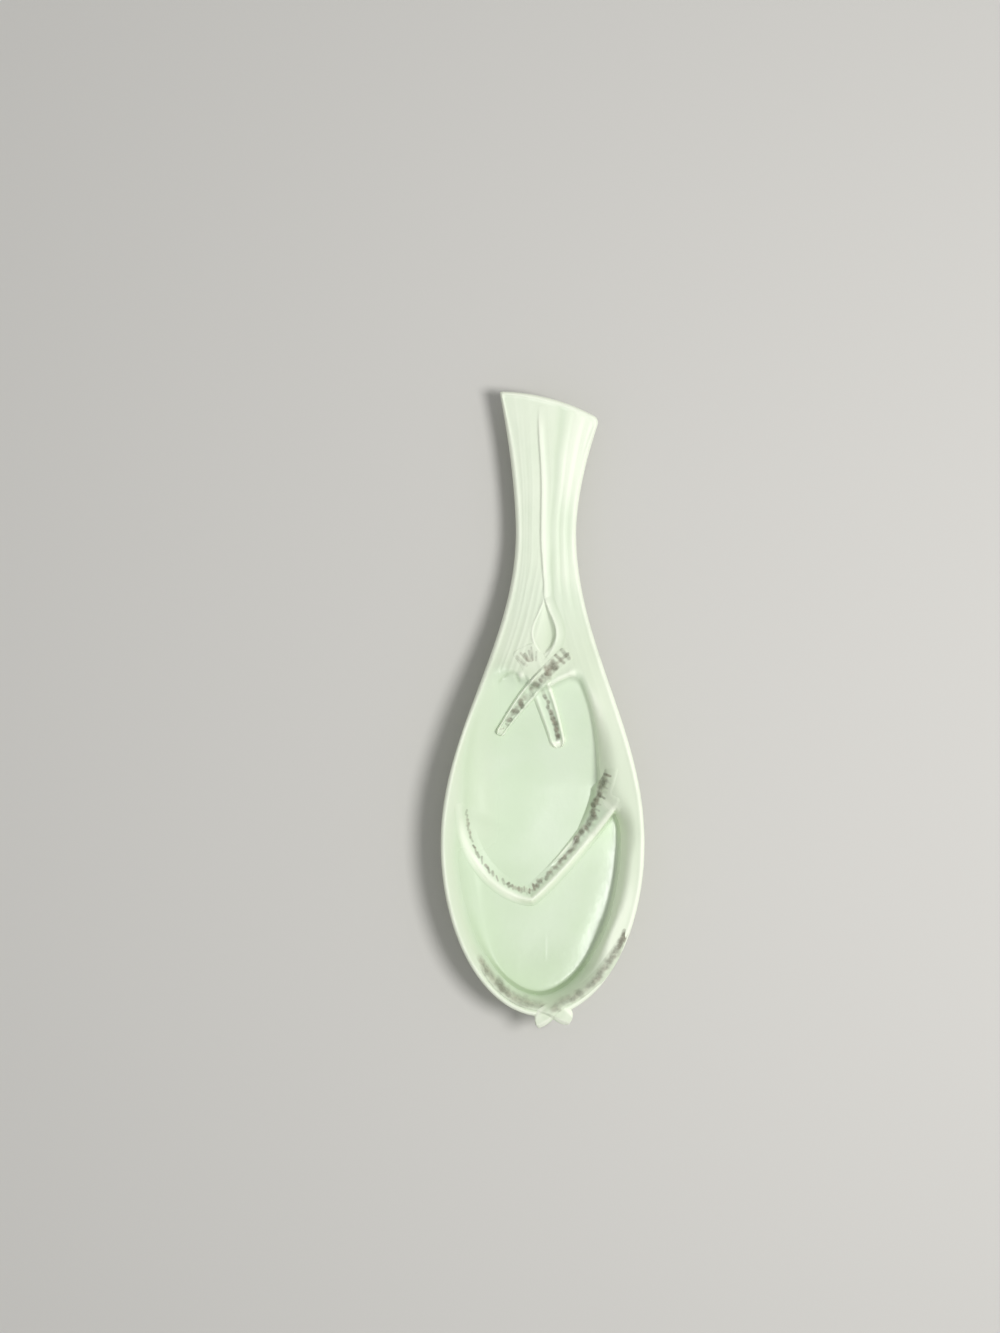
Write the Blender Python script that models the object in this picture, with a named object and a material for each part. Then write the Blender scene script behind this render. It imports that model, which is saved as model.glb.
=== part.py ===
"""Glazed ceramic spoon rest with two wells, shaped like a seed husk on a flared stalk.

The clay pieces are separate objects: a cast tray, the leaf edge that parts the wells, crossed leaf tips,
a forked vein and an oval foot. A small gap stands for the slip that joins each piece to the next.
Metres, +Z up, +Y along the handle, with the origin under the middle of the part at table height.
"""

import bmesh
import bpy
import numpy as np
from mathutils import Vector
from mathutils.bvhtree import BVHTree

MM = 0.001

# Lengths along the part, from the end tips to the handle's long corner
TIP_OVERHANG = 4.7 * MM
BOWL_END_LENGTH = 65.0 * MM
SHOULDER_LENGTH = 117.0 * MM
HANDLE_LENGTH = 53.3 * MM
END_SLANT = 10.4 * MM
END_BULGE = 2.4 * MM
RIGHT_CORNER_ROUND = 2.6 * MM
LEFT_CORNER_ROUND = 1.2 * MM

# Widths of the outline
BOWL_WIDTH = 76.5 * MM
NECK_WIDTH = 22.8 * MM
NECK_OFFSET = 1.4 * MM
FLARE_LEFT = 6.2 * MM
FLARE_RIGHT = 8.9 * MM
FLARE_POWER = 1.7

# Heights and wall sizes
FOOT_HEIGHT = 2.4 * MM
SLIP_GAP = 0.3 * MM
FLOOR_THICKNESS = 5.3 * MM
WELL_DEPTH = 13.0 * MM
HANDLE_DROP = 7.5 * MM
HANDLE_LIFT = 4.5 * MM
RIM_LEVEL_LENGTH = 35.0 * MM
SKIN_CROWN = 3.0 * MM
WALL = 4.7 * MM
RIM_ROUND = 1.4 * MM
LIP_HEIGHT = 2.0 * MM
HULL_FULLNESS = 1.8

# The wells: how far their floors stay inside the bowl, where they lie and how square their ends are
UPPER_BAND = 13.6 * MM
UPPER_WELL_ABOVE = 42.3 * MM
UPPER_WELL_BELOW = 36.0 * MM
UPPER_WELL_RISE = 19.0 * MM
UPPER_WELL_SHIFT = 3.7 * MM
UPPER_WELL_LEAN = 1.4 * MM
UPPER_HEAD_SQUARENESS = 3.2
FLOOR_RISE = 6.0 * MM
LOWER_BAND = 9.3 * MM
LOWER_END_BAND = 8.0 * MM
LOWER_WELL_ABOVE = 14.0 * MM
LOWER_WELL_SHIFT = 2.0 * MM
LOWER_HEAD_SQUARENESS = 4.0
WELL_END_SQUARENESS = 1.9
WALL_RUN = 9.5 * MM

# The leaf edge between the wells. A profile gives shares of the width and of the height across a strip
DIVIDER_HEIGHT = 3.6 * MM
DIVIDER_BAND = 5.6 * MM
DIVIDER_OUTER = 2.0 * MM
DIVIDER_TIP_DROP = 21.0 * MM
DIVIDER_LEFT_RISE = 9.5 * MM
DIVIDER_RIGHT_RISE = 14.0 * MM
DIVIDER_LEFT_FULLNESS = 1.8
DIVIDER_RIGHT_FULLNESS = 1.1
DIVIDER_PROFILE = ((-1.0, 0.12), (-0.8, 0.38), (-0.45, 0.42), (-0.15, 0.72), (0.0, 1.0), (0.5, 0.66),
                   (1.0, 0.12))

# The leaf tips that cross at the head of the upper well. Angles are in degrees
CROSS_BELOW_HEAD = 3.0 * MM
LEAF_RELIEF = 1.7 * MM
LEAF_TAPER_SHARE = 0.35
LEAF_PROFILE = ((-1.0, 0.25), (-0.7, 1.0), (-0.35, 0.7), (0.0, 0.62), (0.35, 0.7), (0.7, 1.0), (1.0, 0.25))
DRAPE_REACH = 1.0 * MM
LONG_LEAF_WIDTH = 5.6 * MM
LONG_LEAF_ABOVE = 18.0 * MM
LONG_LEAF_BELOW = 24.0 * MM
LONG_LEAF_ANGLE = 49.0
LONG_LEAF_BOW = 1.2 * MM
LONG_LEAF_POINT = 0.35
SHORT_LEAF_WIDTH = 6.4 * MM
SHORT_LEAF_ABOVE = 13.0 * MM
SHORT_LEAF_BELOW = 24.0 * MM
SHORT_LEAF_ANGLE = 110.0
SHORT_LEAF_BOW = -1.1 * MM
SHORT_LEAF_POINT = 0.6

# The vein along the handle and its fork round an almond hollow
VEIN_WIDTH = 3.0 * MM
VEIN_RELIEF = 1.2 * MM
VEIN_END_GAP = 2.4 * MM
VEIN_END_SHIFT = 5.0 * MM
VEIN_NECK_SHIFT = 0.9 * MM
VEIN_PROFILE = ((-1.0, 0.3), (-0.5, 0.8), (0.1, 1.0), (1.0, 0.3))
FORK_ABOVE_HEAD = 30.5 * MM
FORK_LENGTH = 23.0 * MM
FORK_SHIFT = 0.5 * MM
FORK_SAG = 1.3
HOLLOW_WIDTH = 11.2 * MM
HOLLOW_DEPTH = 1.4 * MM
RIB_WIDTH = 2.0 * MM
RIB_RELIEF = 1.0 * MM
RIB_PROFILE = ((-1.0, 0.35), (0.0, 1.0), (1.0, 0.35))

# The two leaf edges round the bowl's end, whose small tips cross past the rim. Angles are in degrees
END_LEAF_WIDTH = 4.6 * MM
END_LEAF_RELIEF = 1.2 * MM
END_LEAF_INSET = 3.2 * MM
END_LEAF_SWEEP = 50.0
END_TIP_TURN = 9.5
END_TIP_SHARE = 0.25
END_TIP_TAPER = 0.65
END_CROSS_TURN = 6.5
END_LEAF_PROFILE = ((-1.0, 0.35), (-0.5, 1.0), (0.5, 1.0), (1.0, 0.35))

# The foot
FOOT_WIDTH = 4.0 * MM
FOOT_INSET = 2.0 * MM
FOOT_BEVEL = 0.6 * MM

# Places worked out from the sizes above
Y_LOW = -(TIP_OVERHANG + BOWL_END_LENGTH + SHOULDER_LENGTH + HANDLE_LENGTH) / 2
Y_END = Y_LOW + TIP_OVERHANG
Y_WIDE = Y_END + BOWL_END_LENGTH
Y_NECK = Y_WIDE + SHOULDER_LENGTH
Y_LEFT_CORNER = Y_NECK + HANDLE_LENGTH
Y_RIGHT_CORNER = Y_LEFT_CORNER - END_SLANT
BASE_Z = FOOT_HEIGHT + SLIP_GAP
FLOOR_Z = BASE_Z + FLOOR_THICKNESS
RIM_Z = FLOOR_Z + WELL_DEPTH
Y_HEAD = Y_WIDE + UPPER_WELL_RISE + UPPER_WELL_ABOVE
Y_FORK = Y_HEAD + FORK_ABOVE_HEAD

# How finely each form is divided, and how its rows crowd towards the tighter curve
BOWL_STEPS = 14
SHOULDER_STEPS = 30
HANDLE_STEPS = 7
END_STEPS = 6
WALL_RINGS = 11
WALL_CROWDING = 1.7
HULL_RINGS = 7
HULL_CROWDING = 1.3
DIVIDER_LEG_STEPS = 22
LEAF_STEPS = 32
VEIN_STEPS = 23
RIB_STEPS = 17
END_LEAF_STEPS = 24
FOOT_STEPS = 40
SLOPE_STEP = 0.2 * MM
MERGE_DISTANCE = 0.01 * MM

CELADON = (0.66, 0.80, 0.61)
BRUSHED_CELADON = (0.52, 0.58, 0.46)
BARE_CLAY = (0.78, 0.70, 0.58)


def smooth(t):
    """Ease from 0 to 1 with level ends."""
    t = np.clip(t, 0.0, 1.0)
    return t * t * (3.0 - 2.0 * t)


def half_width(y):
    """Half the tray's width: an ellipse below the widest line, a cosine sweep up to the neck."""
    below = np.clip((y - Y_WIDE) / BOWL_END_LENGTH, -1.0, 0.0)
    above = np.clip((y - Y_WIDE) / SHOULDER_LENGTH, 0.0, 1.0)
    narrowing = (BOWL_WIDTH - NECK_WIDTH) * (1.0 - np.cos(np.pi * above)) / 4
    return BOWL_WIDTH / 2 * np.sqrt(1.0 - below**2) - narrowing


def centre_x(y):
    return NECK_OFFSET * smooth((y - Y_WIDE) / SHOULDER_LENGTH)


def right_x(y):
    run = np.clip((y - Y_NECK) / (Y_RIGHT_CORNER - Y_NECK), 0.0, None)
    return centre_x(y) + half_width(y) + FLARE_RIGHT * run**FLARE_POWER


def left_x(y):
    run = np.clip((y - Y_NECK) / (Y_LEFT_CORNER - Y_NECK), 0.0, None)
    return centre_x(y) - half_width(y) - FLARE_LEFT * run**FLARE_POWER


def egg_distance(x, y, centre, half, above, below, power_above, power_below):
    """Nearly the distance outside an egg outline, negative inside it."""
    dx = np.abs(x - centre[0]) / half
    dy = y - centre[1]
    length = np.where(dy > 0, above, below)
    power = np.where(dy > 0, power_above, power_below)
    dy = np.abs(dy) / length
    rho = np.maximum((dx**power + dy**power) ** (1.0 / power), 1e-6)
    slope = np.hypot((dx / rho) ** (power - 1) / half, (dy / rho) ** (power - 1) / length)
    return (rho - 1.0) / slope


def upper_well(x, y):
    centre_y = Y_WIDE + UPPER_WELL_RISE
    lean = UPPER_WELL_LEAN * smooth((y - centre_y) / UPPER_WELL_ABOVE)
    half = BOWL_WIDTH / 2 - UPPER_BAND
    return egg_distance(x - lean, y, (-UPPER_WELL_SHIFT, centre_y), half, UPPER_WELL_ABOVE, UPPER_WELL_BELOW,
                        UPPER_HEAD_SQUARENESS, WELL_END_SQUARENESS)


def lower_well(x, y):
    half = BOWL_WIDTH / 2 - LOWER_BAND
    below = BOWL_END_LENGTH - LOWER_END_BAND
    return egg_distance(x, y, (-LOWER_WELL_SHIFT, Y_WIDE), half, LOWER_WELL_ABOVE, below,
                        LOWER_HEAD_SQUARENESS, WELL_END_SQUARENESS)


def rim_height(y):
    """The rim is level round the bowl and falls along the shoulders to the handle's edges."""
    fall = (y - Y_WIDE - RIM_LEVEL_LENGTH) / (SHOULDER_LENGTH - RIM_LEVEL_LENGTH)
    return RIM_Z - HANDLE_DROP * smooth(fall)


def skin_height(x, y):
    """The husk's outer skin, crowned across the handle and the shoulders."""
    upper_y = np.maximum(y, Y_WIDE)
    left, right = left_x(upper_y), right_x(upper_y)
    across = (2 * x - left - right) / (right - left)
    below = np.minimum(y - Y_WIDE, 0.0) / BOWL_END_LENGTH
    return rim_height(y) + SKIN_CROWN * (1.0 - across**2 - below**2)


def floor_height(y):
    """The floor is level and rises towards the head of the upper well."""
    start = Y_WIDE + UPPER_WELL_RISE
    return FLOOR_Z + FLOOR_RISE * smooth((y - start) / (Y_HEAD - start))


def fork_x(y):
    """The middle line of the fork."""
    return centre_x(y) + FORK_SHIFT


def fork_spread(share):
    """0 at both ends of the fork and 1 at its widest, with share counted from the vein's end."""
    return np.sin(np.pi * share**FORK_SAG)


def hollow_share(x, y):
    """1 in the middle of the almond hollow inside the fork, 0 at its edge."""
    along = np.clip((Y_FORK - y) / FORK_LENGTH, 0.0, 1.0)
    spread = fork_spread(along)
    half = np.maximum(HOLLOW_WIDTH / 2 * spread, MERGE_DISTANCE)
    return spread * smooth(1.0 - np.abs(x - fork_x(y)) / half)


def top_height(x, y):
    """The tray's upper surface: the skin, sunk to the floor inside the wells."""
    away = np.minimum(upper_well(x, y), lower_well(x, y))
    rise = np.sin(np.pi / 2 * np.clip(away / WALL_RUN, 0.0, 1.0))
    floor = floor_height(y)
    return floor + (skin_height(x, y) - floor) * rise - HOLLOW_DEPTH * hollow_share(x, y) * rise


def base_height(y):
    """The underside's lowest line: flat under the bowl, lifted under the handle."""
    return BASE_Z + HANDLE_LIFT * smooth((y - Y_HEAD) / (Y_NECK - Y_HEAD))


def rounded_corner(before, corner, after):
    """The point halfway round a curve that cuts off a corner."""
    return (before + 2.0 * corner + after) / 4


def outline_and_spine():
    """Points round the tray's edge, and for each the point of the middle line that it faces."""
    angle = np.linspace(-np.pi / 2, 0.0, BOWL_STEPS + 1)
    bowl = Y_WIDE + BOWL_END_LENGTH * np.sin(angle)
    shoulder = np.linspace(Y_WIDE, Y_NECK, SHOULDER_STEPS + 1)[1:]
    share = np.linspace(0.0, 1.0, HANDLE_STEPS + 1)[1:]
    right = np.concatenate([bowl, shoulder, Y_NECK + share * (Y_RIGHT_CORNER - RIGHT_CORNER_ROUND - Y_NECK)])
    left = np.concatenate([bowl, shoulder, Y_NECK + share * (Y_LEFT_CORNER - LEFT_CORNER_ROUND - Y_NECK)])

    def square(y):
        return ((right_x(y) - left_x(y)) / 2) ** 2

    middle = (right + left) / 2
    foot = middle + (square(middle + SLOPE_STEP) - square(middle - SLOPE_STEP)) / (4 * SLOPE_STEP)
    spine_y = np.minimum(foot, Y_RIGHT_CORNER - NECK_WIDTH / 2)
    spine = np.stack([(left_x(spine_y) + right_x(spine_y)) / 2, spine_y], axis=1)
    right_side = np.stack([right_x(right), right], axis=1)
    left_side = np.stack([left_x(left), left], axis=1)

    right_corner = np.array([right_x(Y_RIGHT_CORNER), Y_RIGHT_CORNER])
    left_corner = np.array([left_x(Y_LEFT_CORNER), Y_LEFT_CORNER])
    chord = left_corner - right_corner
    outward = np.array([chord[1], -chord[0]]) / np.hypot(*chord)
    cut_right, cut_left = np.array([RIGHT_CORNER_ROUND, LEFT_CORNER_ROUND]) / np.hypot(*chord)
    part = np.linspace(cut_right, 1.0 - cut_left, END_STEPS + 1)[:, None]
    end = right_corner + part * chord + 4 * END_BULGE * part * (1 - part) * outward
    end = np.concatenate([
        [rounded_corner(right_side[-1], right_corner, end[0])],
        end,
        [rounded_corner(end[-1], left_corner, left_side[-1])],
    ])
    edge = np.concatenate([right_side, end, left_side[:0:-1]])
    facing = np.concatenate([spine, np.repeat(spine[-1:], len(end), axis=0), spine[:0:-1]])
    return edge, facing


def floor_crossing(edge, facing):
    """The share of the way from each edge point to the middle line at which the floor begins."""
    share = np.linspace(0.0, 1.0, 401)
    x = edge[:, :1] + (facing - edge)[:, :1] * share
    y = edge[:, 1:] + (facing - edge)[:, 1:] * share
    inside = np.minimum(upper_well(x, y), lower_well(x, y)) < 0
    return np.where(inside.any(axis=1), share[inside.argmax(axis=1)], 1.0)


def tray_rings():
    """Closed rings of points from the middle of the top, over the rim, to the middle of the underside."""
    edge, facing = outline_and_spine()
    reach = np.hypot(*(facing - edge).T)
    floor_at = floor_crossing(edge, facing)
    rim_at = RIM_ROUND / reach

    def plan(share):
        return edge + (facing - edge) * np.asarray(share)[:, None]

    def ring(points, z):
        return np.column_stack([points, z])

    rings = [ring(facing, top_height(*facing.T))]
    for step in np.linspace(1.0, 0.0, WALL_RINGS):
        share = rim_at + (floor_at - rim_at) * (1.0 - (1.0 - step) ** WALL_CROWDING)
        points = plan(share)
        rings.append(ring(points, top_height(*points.T)))
    rim_z = rings[-1][:, 2]
    quarter = 1.0 - np.sqrt(0.5)
    rings.append(ring(plan(rim_at * quarter), rim_z - RIM_ROUND * quarter))
    rings.append(ring(edge, rim_z - RIM_ROUND))
    lip_z = rim_z - RIM_ROUND - LIP_HEIGHT
    run = np.minimum(floor_at * reach + WALL, reach)
    for step in np.linspace(0.0, 1.0, HULL_RINGS) ** HULL_CROWDING:
        points = plan(step * run / reach)
        base = base_height(points[:, 1])
        rings.append(ring(points, base + (lip_z - base) * (1.0 - step) ** HULL_FULLNESS))
    rings.append(ring(facing, base_height(facing[:, 1])))
    return rings


def finish(name, colour, roughness):
    material = bpy.data.materials.new(name)
    material.use_nodes = True
    shader = material.node_tree.nodes["Principled BSDF"]
    shader.inputs["Base Color"].default_value = (*colour, 1.0)
    shader.inputs["Roughness"].default_value = roughness
    shader.inputs["Metallic"].default_value = 0.0
    return material


def add_piece(name, mesh_data, colour, roughness):
    """Turn a bmesh into a named, smooth-shaded object with its own finish."""
    bmesh.ops.remove_doubles(mesh_data, verts=mesh_data.verts, dist=MERGE_DISTANCE)
    bmesh.ops.recalc_face_normals(mesh_data, faces=mesh_data.faces)
    mesh = bpy.data.meshes.new(name)
    mesh_data.to_mesh(mesh)
    mesh.shade_smooth()
    mesh.set_sharp_from_angle(angle=np.radians(50.0))
    mesh.materials.append(finish(name, colour, roughness))
    piece = bpy.data.objects.new(name, mesh)
    bpy.context.collection.objects.link(piece)
    surface = BVHTree.FromBMesh(mesh_data)
    mesh_data.free()
    return surface


def join_rings(mesh_data, rings, around):
    """Faces between neighbouring rows of points. around closes each row on itself."""
    rows = [[mesh_data.verts.new(point) for point in ring] for ring in rings]
    for first, second in zip(rows, rows[1:]):
        last = len(first) if around else len(first) - 1
        for i in range(last):
            j = (i + 1) % len(first)
            mesh_data.faces.new((first[i], first[j], second[j], second[i]))
    return rows


def make_tray():
    mesh_data = bmesh.new()
    join_rings(mesh_data, tray_rings(), around=True)
    return add_piece("tray", mesh_data, CELADON, 0.18)


def lift_over(z, x, y, surface):
    """Raise heights that a surface, looked at from above, would poke through."""
    down = Vector((0.0, 0.0, -1.0))
    for index in np.ndindex(z.shape):
        hit = surface.ray_cast(Vector((x[index], y[index], 1.0)), down)[0]
        if hit is not None:
            z[index] = max(z[index], hit.z)


def halved(values):
    """A grid of values with the midpoints between neighbours put in, both ways."""
    for axis in (0, 1):
        rows = np.moveaxis(values, axis, 0)
        finer = np.empty((2 * len(rows) - 1, rows.shape[1]))
        finer[::2] = rows
        finer[1::2] = (rows[:-1] + rows[1:]) / 2
        values = np.moveaxis(finer, 0, axis)
    return values


def lowest_seat(x, y, tray, crossed):
    """How high a strip has to lie at single points: on the tray, and over any piece that it crosses."""
    z = top_height(x, y)
    slope_x = (top_height(x + SLOPE_STEP, y) - top_height(x - SLOPE_STEP, y)) / (2 * SLOPE_STEP)
    slope_y = (top_height(x, y + SLOPE_STEP) - top_height(x, y - SLOPE_STEP)) / (2 * SLOPE_STEP)
    gap = SLIP_GAP * np.sqrt(1.0 + slope_x**2 + slope_y**2)
    lift_over(z, x, y, tray)
    nearby = DRAPE_REACH * np.linspace(-1.0, 1.0, 5)
    for surface in crossed:
        for aside_x in nearby:
            for aside_y in nearby:
                lift_over(z, x + aside_x, y + aside_y, surface)
    return z + gap


def seat_height(x, y, tray, crossed):
    """Seats at the points of a strip, lifted where the flat between neighbours would cut a ridge."""
    needed = lowest_seat(halved(x), halved(y), tray, crossed)
    seat = needed[::2, ::2]
    short = np.pad(np.maximum(needed - halved(seat), 0.0), 1)
    rows, columns = needed.shape
    around = [short[i:i + rows:2, j:j + columns:2] for i in range(3) for j in range(3)]
    return seat + np.max(around, axis=0)


def path_direction(path, reach):
    """The way a path runs at each station, averaged over a reach before and after it."""
    travelled = np.concatenate([[0.0], np.cumsum(np.hypot(*np.diff(path, axis=0).T))])
    ahead = [np.interp(travelled + reach, travelled, along) for along in path.T]
    behind = [np.interp(travelled - reach, travelled, along) for along in path.T]
    way = np.transpose(ahead) - np.transpose(behind)
    return way / np.hypot(*way.T)[:, None]


def make_strip(name, path, offsets, relief, colour, tray, crossed=()):
    """A strip of clay laid along a path: offsets across it, relief above its seat, both per station.

    Its direction is averaged over its own width, so that its inner edge doesn't fold at a corner.
    """
    tangent = path_direction(path, np.abs(offsets).max())
    x = path[:, :1] + tangent[:, 1:] * offsets
    y = path[:, 1:] - tangent[:, :1] * offsets
    seat = seat_height(x, y, tray, crossed)
    loops = np.concatenate([
        np.stack([x, y, seat + relief], axis=-1),
        np.stack([x, y, seat], axis=-1)[:, ::-1],
    ], axis=1)
    mesh_data = bmesh.new()
    rows = join_rings(mesh_data, loops, around=True)
    across = offsets.shape[1]
    for row in (rows[0], rows[-1]):
        for i in range(across - 1):
            mesh_data.faces.new((row[i], row[i + 1], row[-i - 2], row[-i - 1]))
    return add_piece(name, mesh_data, colour, 0.2)


def bowed(start, end, bow, steps):
    """A shallow arc between two points, bulging to the right of the way it runs."""
    start, end = np.asarray(start), np.asarray(end)
    share = np.linspace(0.0, 1.0, steps + 1)[:, None]
    chord = end - start
    side = np.array([chord[1], -chord[0]]) / np.hypot(*chord)
    return start + share * chord + 4 * bow * share * (1 - share) * side


def quarter_arc(start, end, fullness, steps):
    """A quarter of an oval that leaves its start along Y. A fullness of 1 is straight, and 2 an ellipse."""
    turn = np.linspace(0.0, np.pi / 2, 200)
    x = end[0] + (start[0] - end[0]) * np.cos(turn) ** (2 / fullness)
    y = start[1] + (end[1] - start[1]) * np.sin(turn) ** (2 / fullness)
    travelled = np.concatenate([[0.0], np.cumsum(np.hypot(np.diff(x), np.diff(y)))])
    even = np.linspace(0.0, travelled[-1], steps + 1)
    return np.stack([np.interp(even, travelled, x), np.interp(even, travelled, y)], axis=1)


def clear_stretch(path, other, distance):
    """The run of a path from its start up to where it comes too near another path."""
    gaps = np.hypot(*(path[:, None, :] - other[None, :, :]).transpose(2, 0, 1))
    near = gaps.min(axis=1) < distance
    stop = near.argmax() if near.any() else len(path)
    return path[:stop]


def eased(share, start, end, least):
    """1 along the middle of a strip, easing to the least value over a share of its length at each end."""
    return least + (1.0 - least) * smooth(share / start) * smooth((1.0 - share) / end)


def strip_form(profile, half, height):
    """Offsets across a strip and its relief at every station, from a profile of shares."""
    across, rise = np.array(profile).T
    return half[:, None] * across, height[:, None] * rise


def make_divider(tray):
    half = BOWL_WIDTH / 2 - LOWER_BAND
    left = (-LOWER_WELL_SHIFT - half, Y_WIDE + DIVIDER_LEFT_RISE)
    right = (-LOWER_WELL_SHIFT + half, Y_WIDE + DIVIDER_RIGHT_RISE)
    tip = (-LOWER_WELL_SHIFT, Y_WIDE - DIVIDER_TIP_DROP)
    left_leg = quarter_arc(left, tip, DIVIDER_LEFT_FULLNESS, DIVIDER_LEG_STEPS)
    right_leg = quarter_arc(right, tip, DIVIDER_RIGHT_FULLNESS, DIVIDER_LEG_STEPS)
    path = np.concatenate([left_leg, right_leg[-2::-1]])
    share = np.linspace(0.0, 1.0, len(path))
    height = DIVIDER_HEIGHT * eased(share, 0.25, 0.25, 0.3)
    offsets, relief = strip_form(DIVIDER_PROFILE, np.ones(len(path)), height)
    offsets *= np.where(offsets < 0, DIVIDER_BAND, DIVIDER_OUTER)
    make_strip("well_divider", path, offsets, relief, BRUSHED_CELADON, tray)


def leaf_path(angle, above, below, bow):
    """The middle line of a leaf tip through the crossing, from its upper end down to its point."""
    cross = np.array([-UPPER_WELL_SHIFT / 2, Y_HEAD - CROSS_BELOW_HEAD])
    way = np.array([np.cos(np.radians(angle)), np.sin(np.radians(angle))])
    return bowed(cross + above * way, cross - below * way, bow, LEAF_STEPS)


def make_leaf(name, path, width, point, tray, crossed=()):
    """A channelled leaf tip: raised edges, a shallow trough, tapering to a blunt point."""
    share = np.linspace(0.0, 1.0, len(path))
    half = width / 2 * (point + (1.0 - point) * smooth((1.0 - share) / LEAF_TAPER_SHARE))
    offsets, relief = strip_form(LEAF_PROFILE, half, LEAF_RELIEF * eased(share, 0.1, 0.08, 0.4))
    return make_strip(name, path, offsets, relief, BRUSHED_CELADON, tray, crossed)


def make_vein(tray):
    """The raised vein, from near the handle's end, past the neck, to the fork."""
    end_y = (Y_LEFT_CORNER + Y_RIGHT_CORNER) / 2 - VEIN_END_GAP + END_BULGE
    y = np.linspace(end_y, Y_FORK, VEIN_STEPS + 1)
    to_neck = smooth((y - Y_FORK) / (Y_NECK - Y_FORK))
    past_neck = smooth((y - Y_NECK) / (end_y - Y_NECK)) ** 2
    shift = FORK_SHIFT * (1.0 - to_neck) - VEIN_NECK_SHIFT * to_neck
    shift -= (VEIN_END_SHIFT - VEIN_NECK_SHIFT) * past_neck
    path = np.stack([(left_x(y) + right_x(y)) / 2 + shift, y], axis=1)
    share = np.linspace(0.0, 1.0, len(y))
    half = np.full(len(y), VEIN_WIDTH / 2)
    offsets, relief = strip_form(VEIN_PROFILE, half, VEIN_RELIEF * eased(share, 0.1, 0.1, 0.4))
    make_strip("stalk_vein", path, offsets, relief, CELADON, tray)


def make_rib(name, side, leaves, tray):
    """One branch of the vein, bowed round the almond hollow and ending short of the leaf tips."""
    share = np.linspace(0.0, 1.0, RIB_STEPS + 1)
    y = Y_FORK - SLIP_GAP - FORK_LENGTH * share
    start = (RIB_WIDTH + SLIP_GAP) / 2
    bow = start + (HOLLOW_WIDTH / 2 - start) * fork_spread(share)
    path = np.stack([fork_x(y) + side * bow, y], axis=1)
    for leaf, width in leaves:
        path = clear_stretch(path, leaf, (width + RIB_WIDTH) / 2 + SLIP_GAP)
    share = np.linspace(0.0, 1.0, len(path))
    half = np.full(len(path), RIB_WIDTH / 2)
    offsets, relief = strip_form(RIB_PROFILE, half, RIB_RELIEF * eased(share, 0.1, 0.15, 0.5))
    make_strip(name, path, offsets, relief, CELADON, tray)


def make_end_leaf(name, side, tray, crossed=()):
    """A leaf edge laid inside the rim round the bowl's end, drifting out over the rim to a small tip."""
    share = np.linspace(0.0, 1.0, END_LEAF_STEPS + 1)
    turn = np.radians(END_CROSS_TURN + side * (END_LEAF_SWEEP - (END_LEAF_SWEEP + END_TIP_TURN) * share))
    cap = END_LEAF_WIDTH / 2 * END_TIP_TAPER
    drift = smooth((share - 1.0 + END_TIP_SHARE) / END_TIP_SHARE)
    inset = END_LEAF_INSET - (END_LEAF_INSET + TIP_OVERHANG - cap) * drift
    x = (BOWL_WIDTH / 2 - inset) * np.sin(turn)
    y = Y_WIDE - (BOWL_END_LENGTH - inset) * np.cos(turn)
    half = END_LEAF_WIDTH / 2 * eased(share, 0.4, 0.12, END_TIP_TAPER)
    offsets, relief = strip_form(END_LEAF_PROFILE, half, END_LEAF_RELIEF * eased(share, 0.3, 0.1, 0.5))
    return make_strip(name, np.stack([x, y], axis=1), offsets, relief, BRUSHED_CELADON, tray, crossed)


def make_foot():
    """An oval ring on the flat of the underside, its outline kept inside both wells' floors."""
    centre_x_foot = -UPPER_WELL_SHIFT / 2
    half = BOWL_WIDTH / 2 - UPPER_BAND - UPPER_WELL_SHIFT / 2 - WALL - FOOT_INSET
    low = Y_END + LOWER_END_BAND + WALL + FOOT_INSET
    high = Y_HEAD - WALL - FOOT_INSET
    angle = np.linspace(0.0, 2 * np.pi, FOOT_STEPS, endpoint=False)

    def loop(inset, z):
        x = centre_x_foot + (half - inset) * np.cos(angle)
        y = (low + high) / 2 + ((high - low) / 2 - inset) * np.sin(angle)
        return np.stack([x, y, np.full_like(x, z)], axis=1)

    rings = [
        loop(0.0, FOOT_HEIGHT),
        loop(0.0, FOOT_BEVEL),
        loop(FOOT_BEVEL, 0.0),
        loop(FOOT_WIDTH - FOOT_BEVEL, 0.0),
        loop(FOOT_WIDTH, FOOT_BEVEL),
        loop(FOOT_WIDTH, FOOT_HEIGHT),
        loop(0.0, FOOT_HEIGHT),
    ]
    mesh_data = bmesh.new()
    join_rings(mesh_data, rings, around=True)
    add_piece("foot_ring", mesh_data, BARE_CLAY, 0.85)


def main():
    for old in list(bpy.data.objects):
        bpy.data.objects.remove(old)
    tray = make_tray()
    make_foot()
    make_divider(tray)
    long_path = leaf_path(LONG_LEAF_ANGLE, LONG_LEAF_ABOVE, LONG_LEAF_BELOW, LONG_LEAF_BOW)
    short_path = leaf_path(SHORT_LEAF_ANGLE, SHORT_LEAF_ABOVE, SHORT_LEAF_BELOW, SHORT_LEAF_BOW)
    short_leaf = make_leaf("short_leaf_tip", short_path, SHORT_LEAF_WIDTH, SHORT_LEAF_POINT, tray)
    make_leaf("long_leaf_tip", long_path, LONG_LEAF_WIDTH, LONG_LEAF_POINT, tray, [short_leaf])
    make_vein(tray)
    leaves = [(long_path, LONG_LEAF_WIDTH), (short_path, SHORT_LEAF_WIDTH)]
    make_rib("vein_fork_left", -1, leaves, tray)
    make_rib("vein_fork_right", 1, leaves, tray)
    under_leaf = make_end_leaf("end_leaf_under", -1, tray)
    make_end_leaf("end_leaf_over", 1, tray, [under_leaf])


main()
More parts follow.
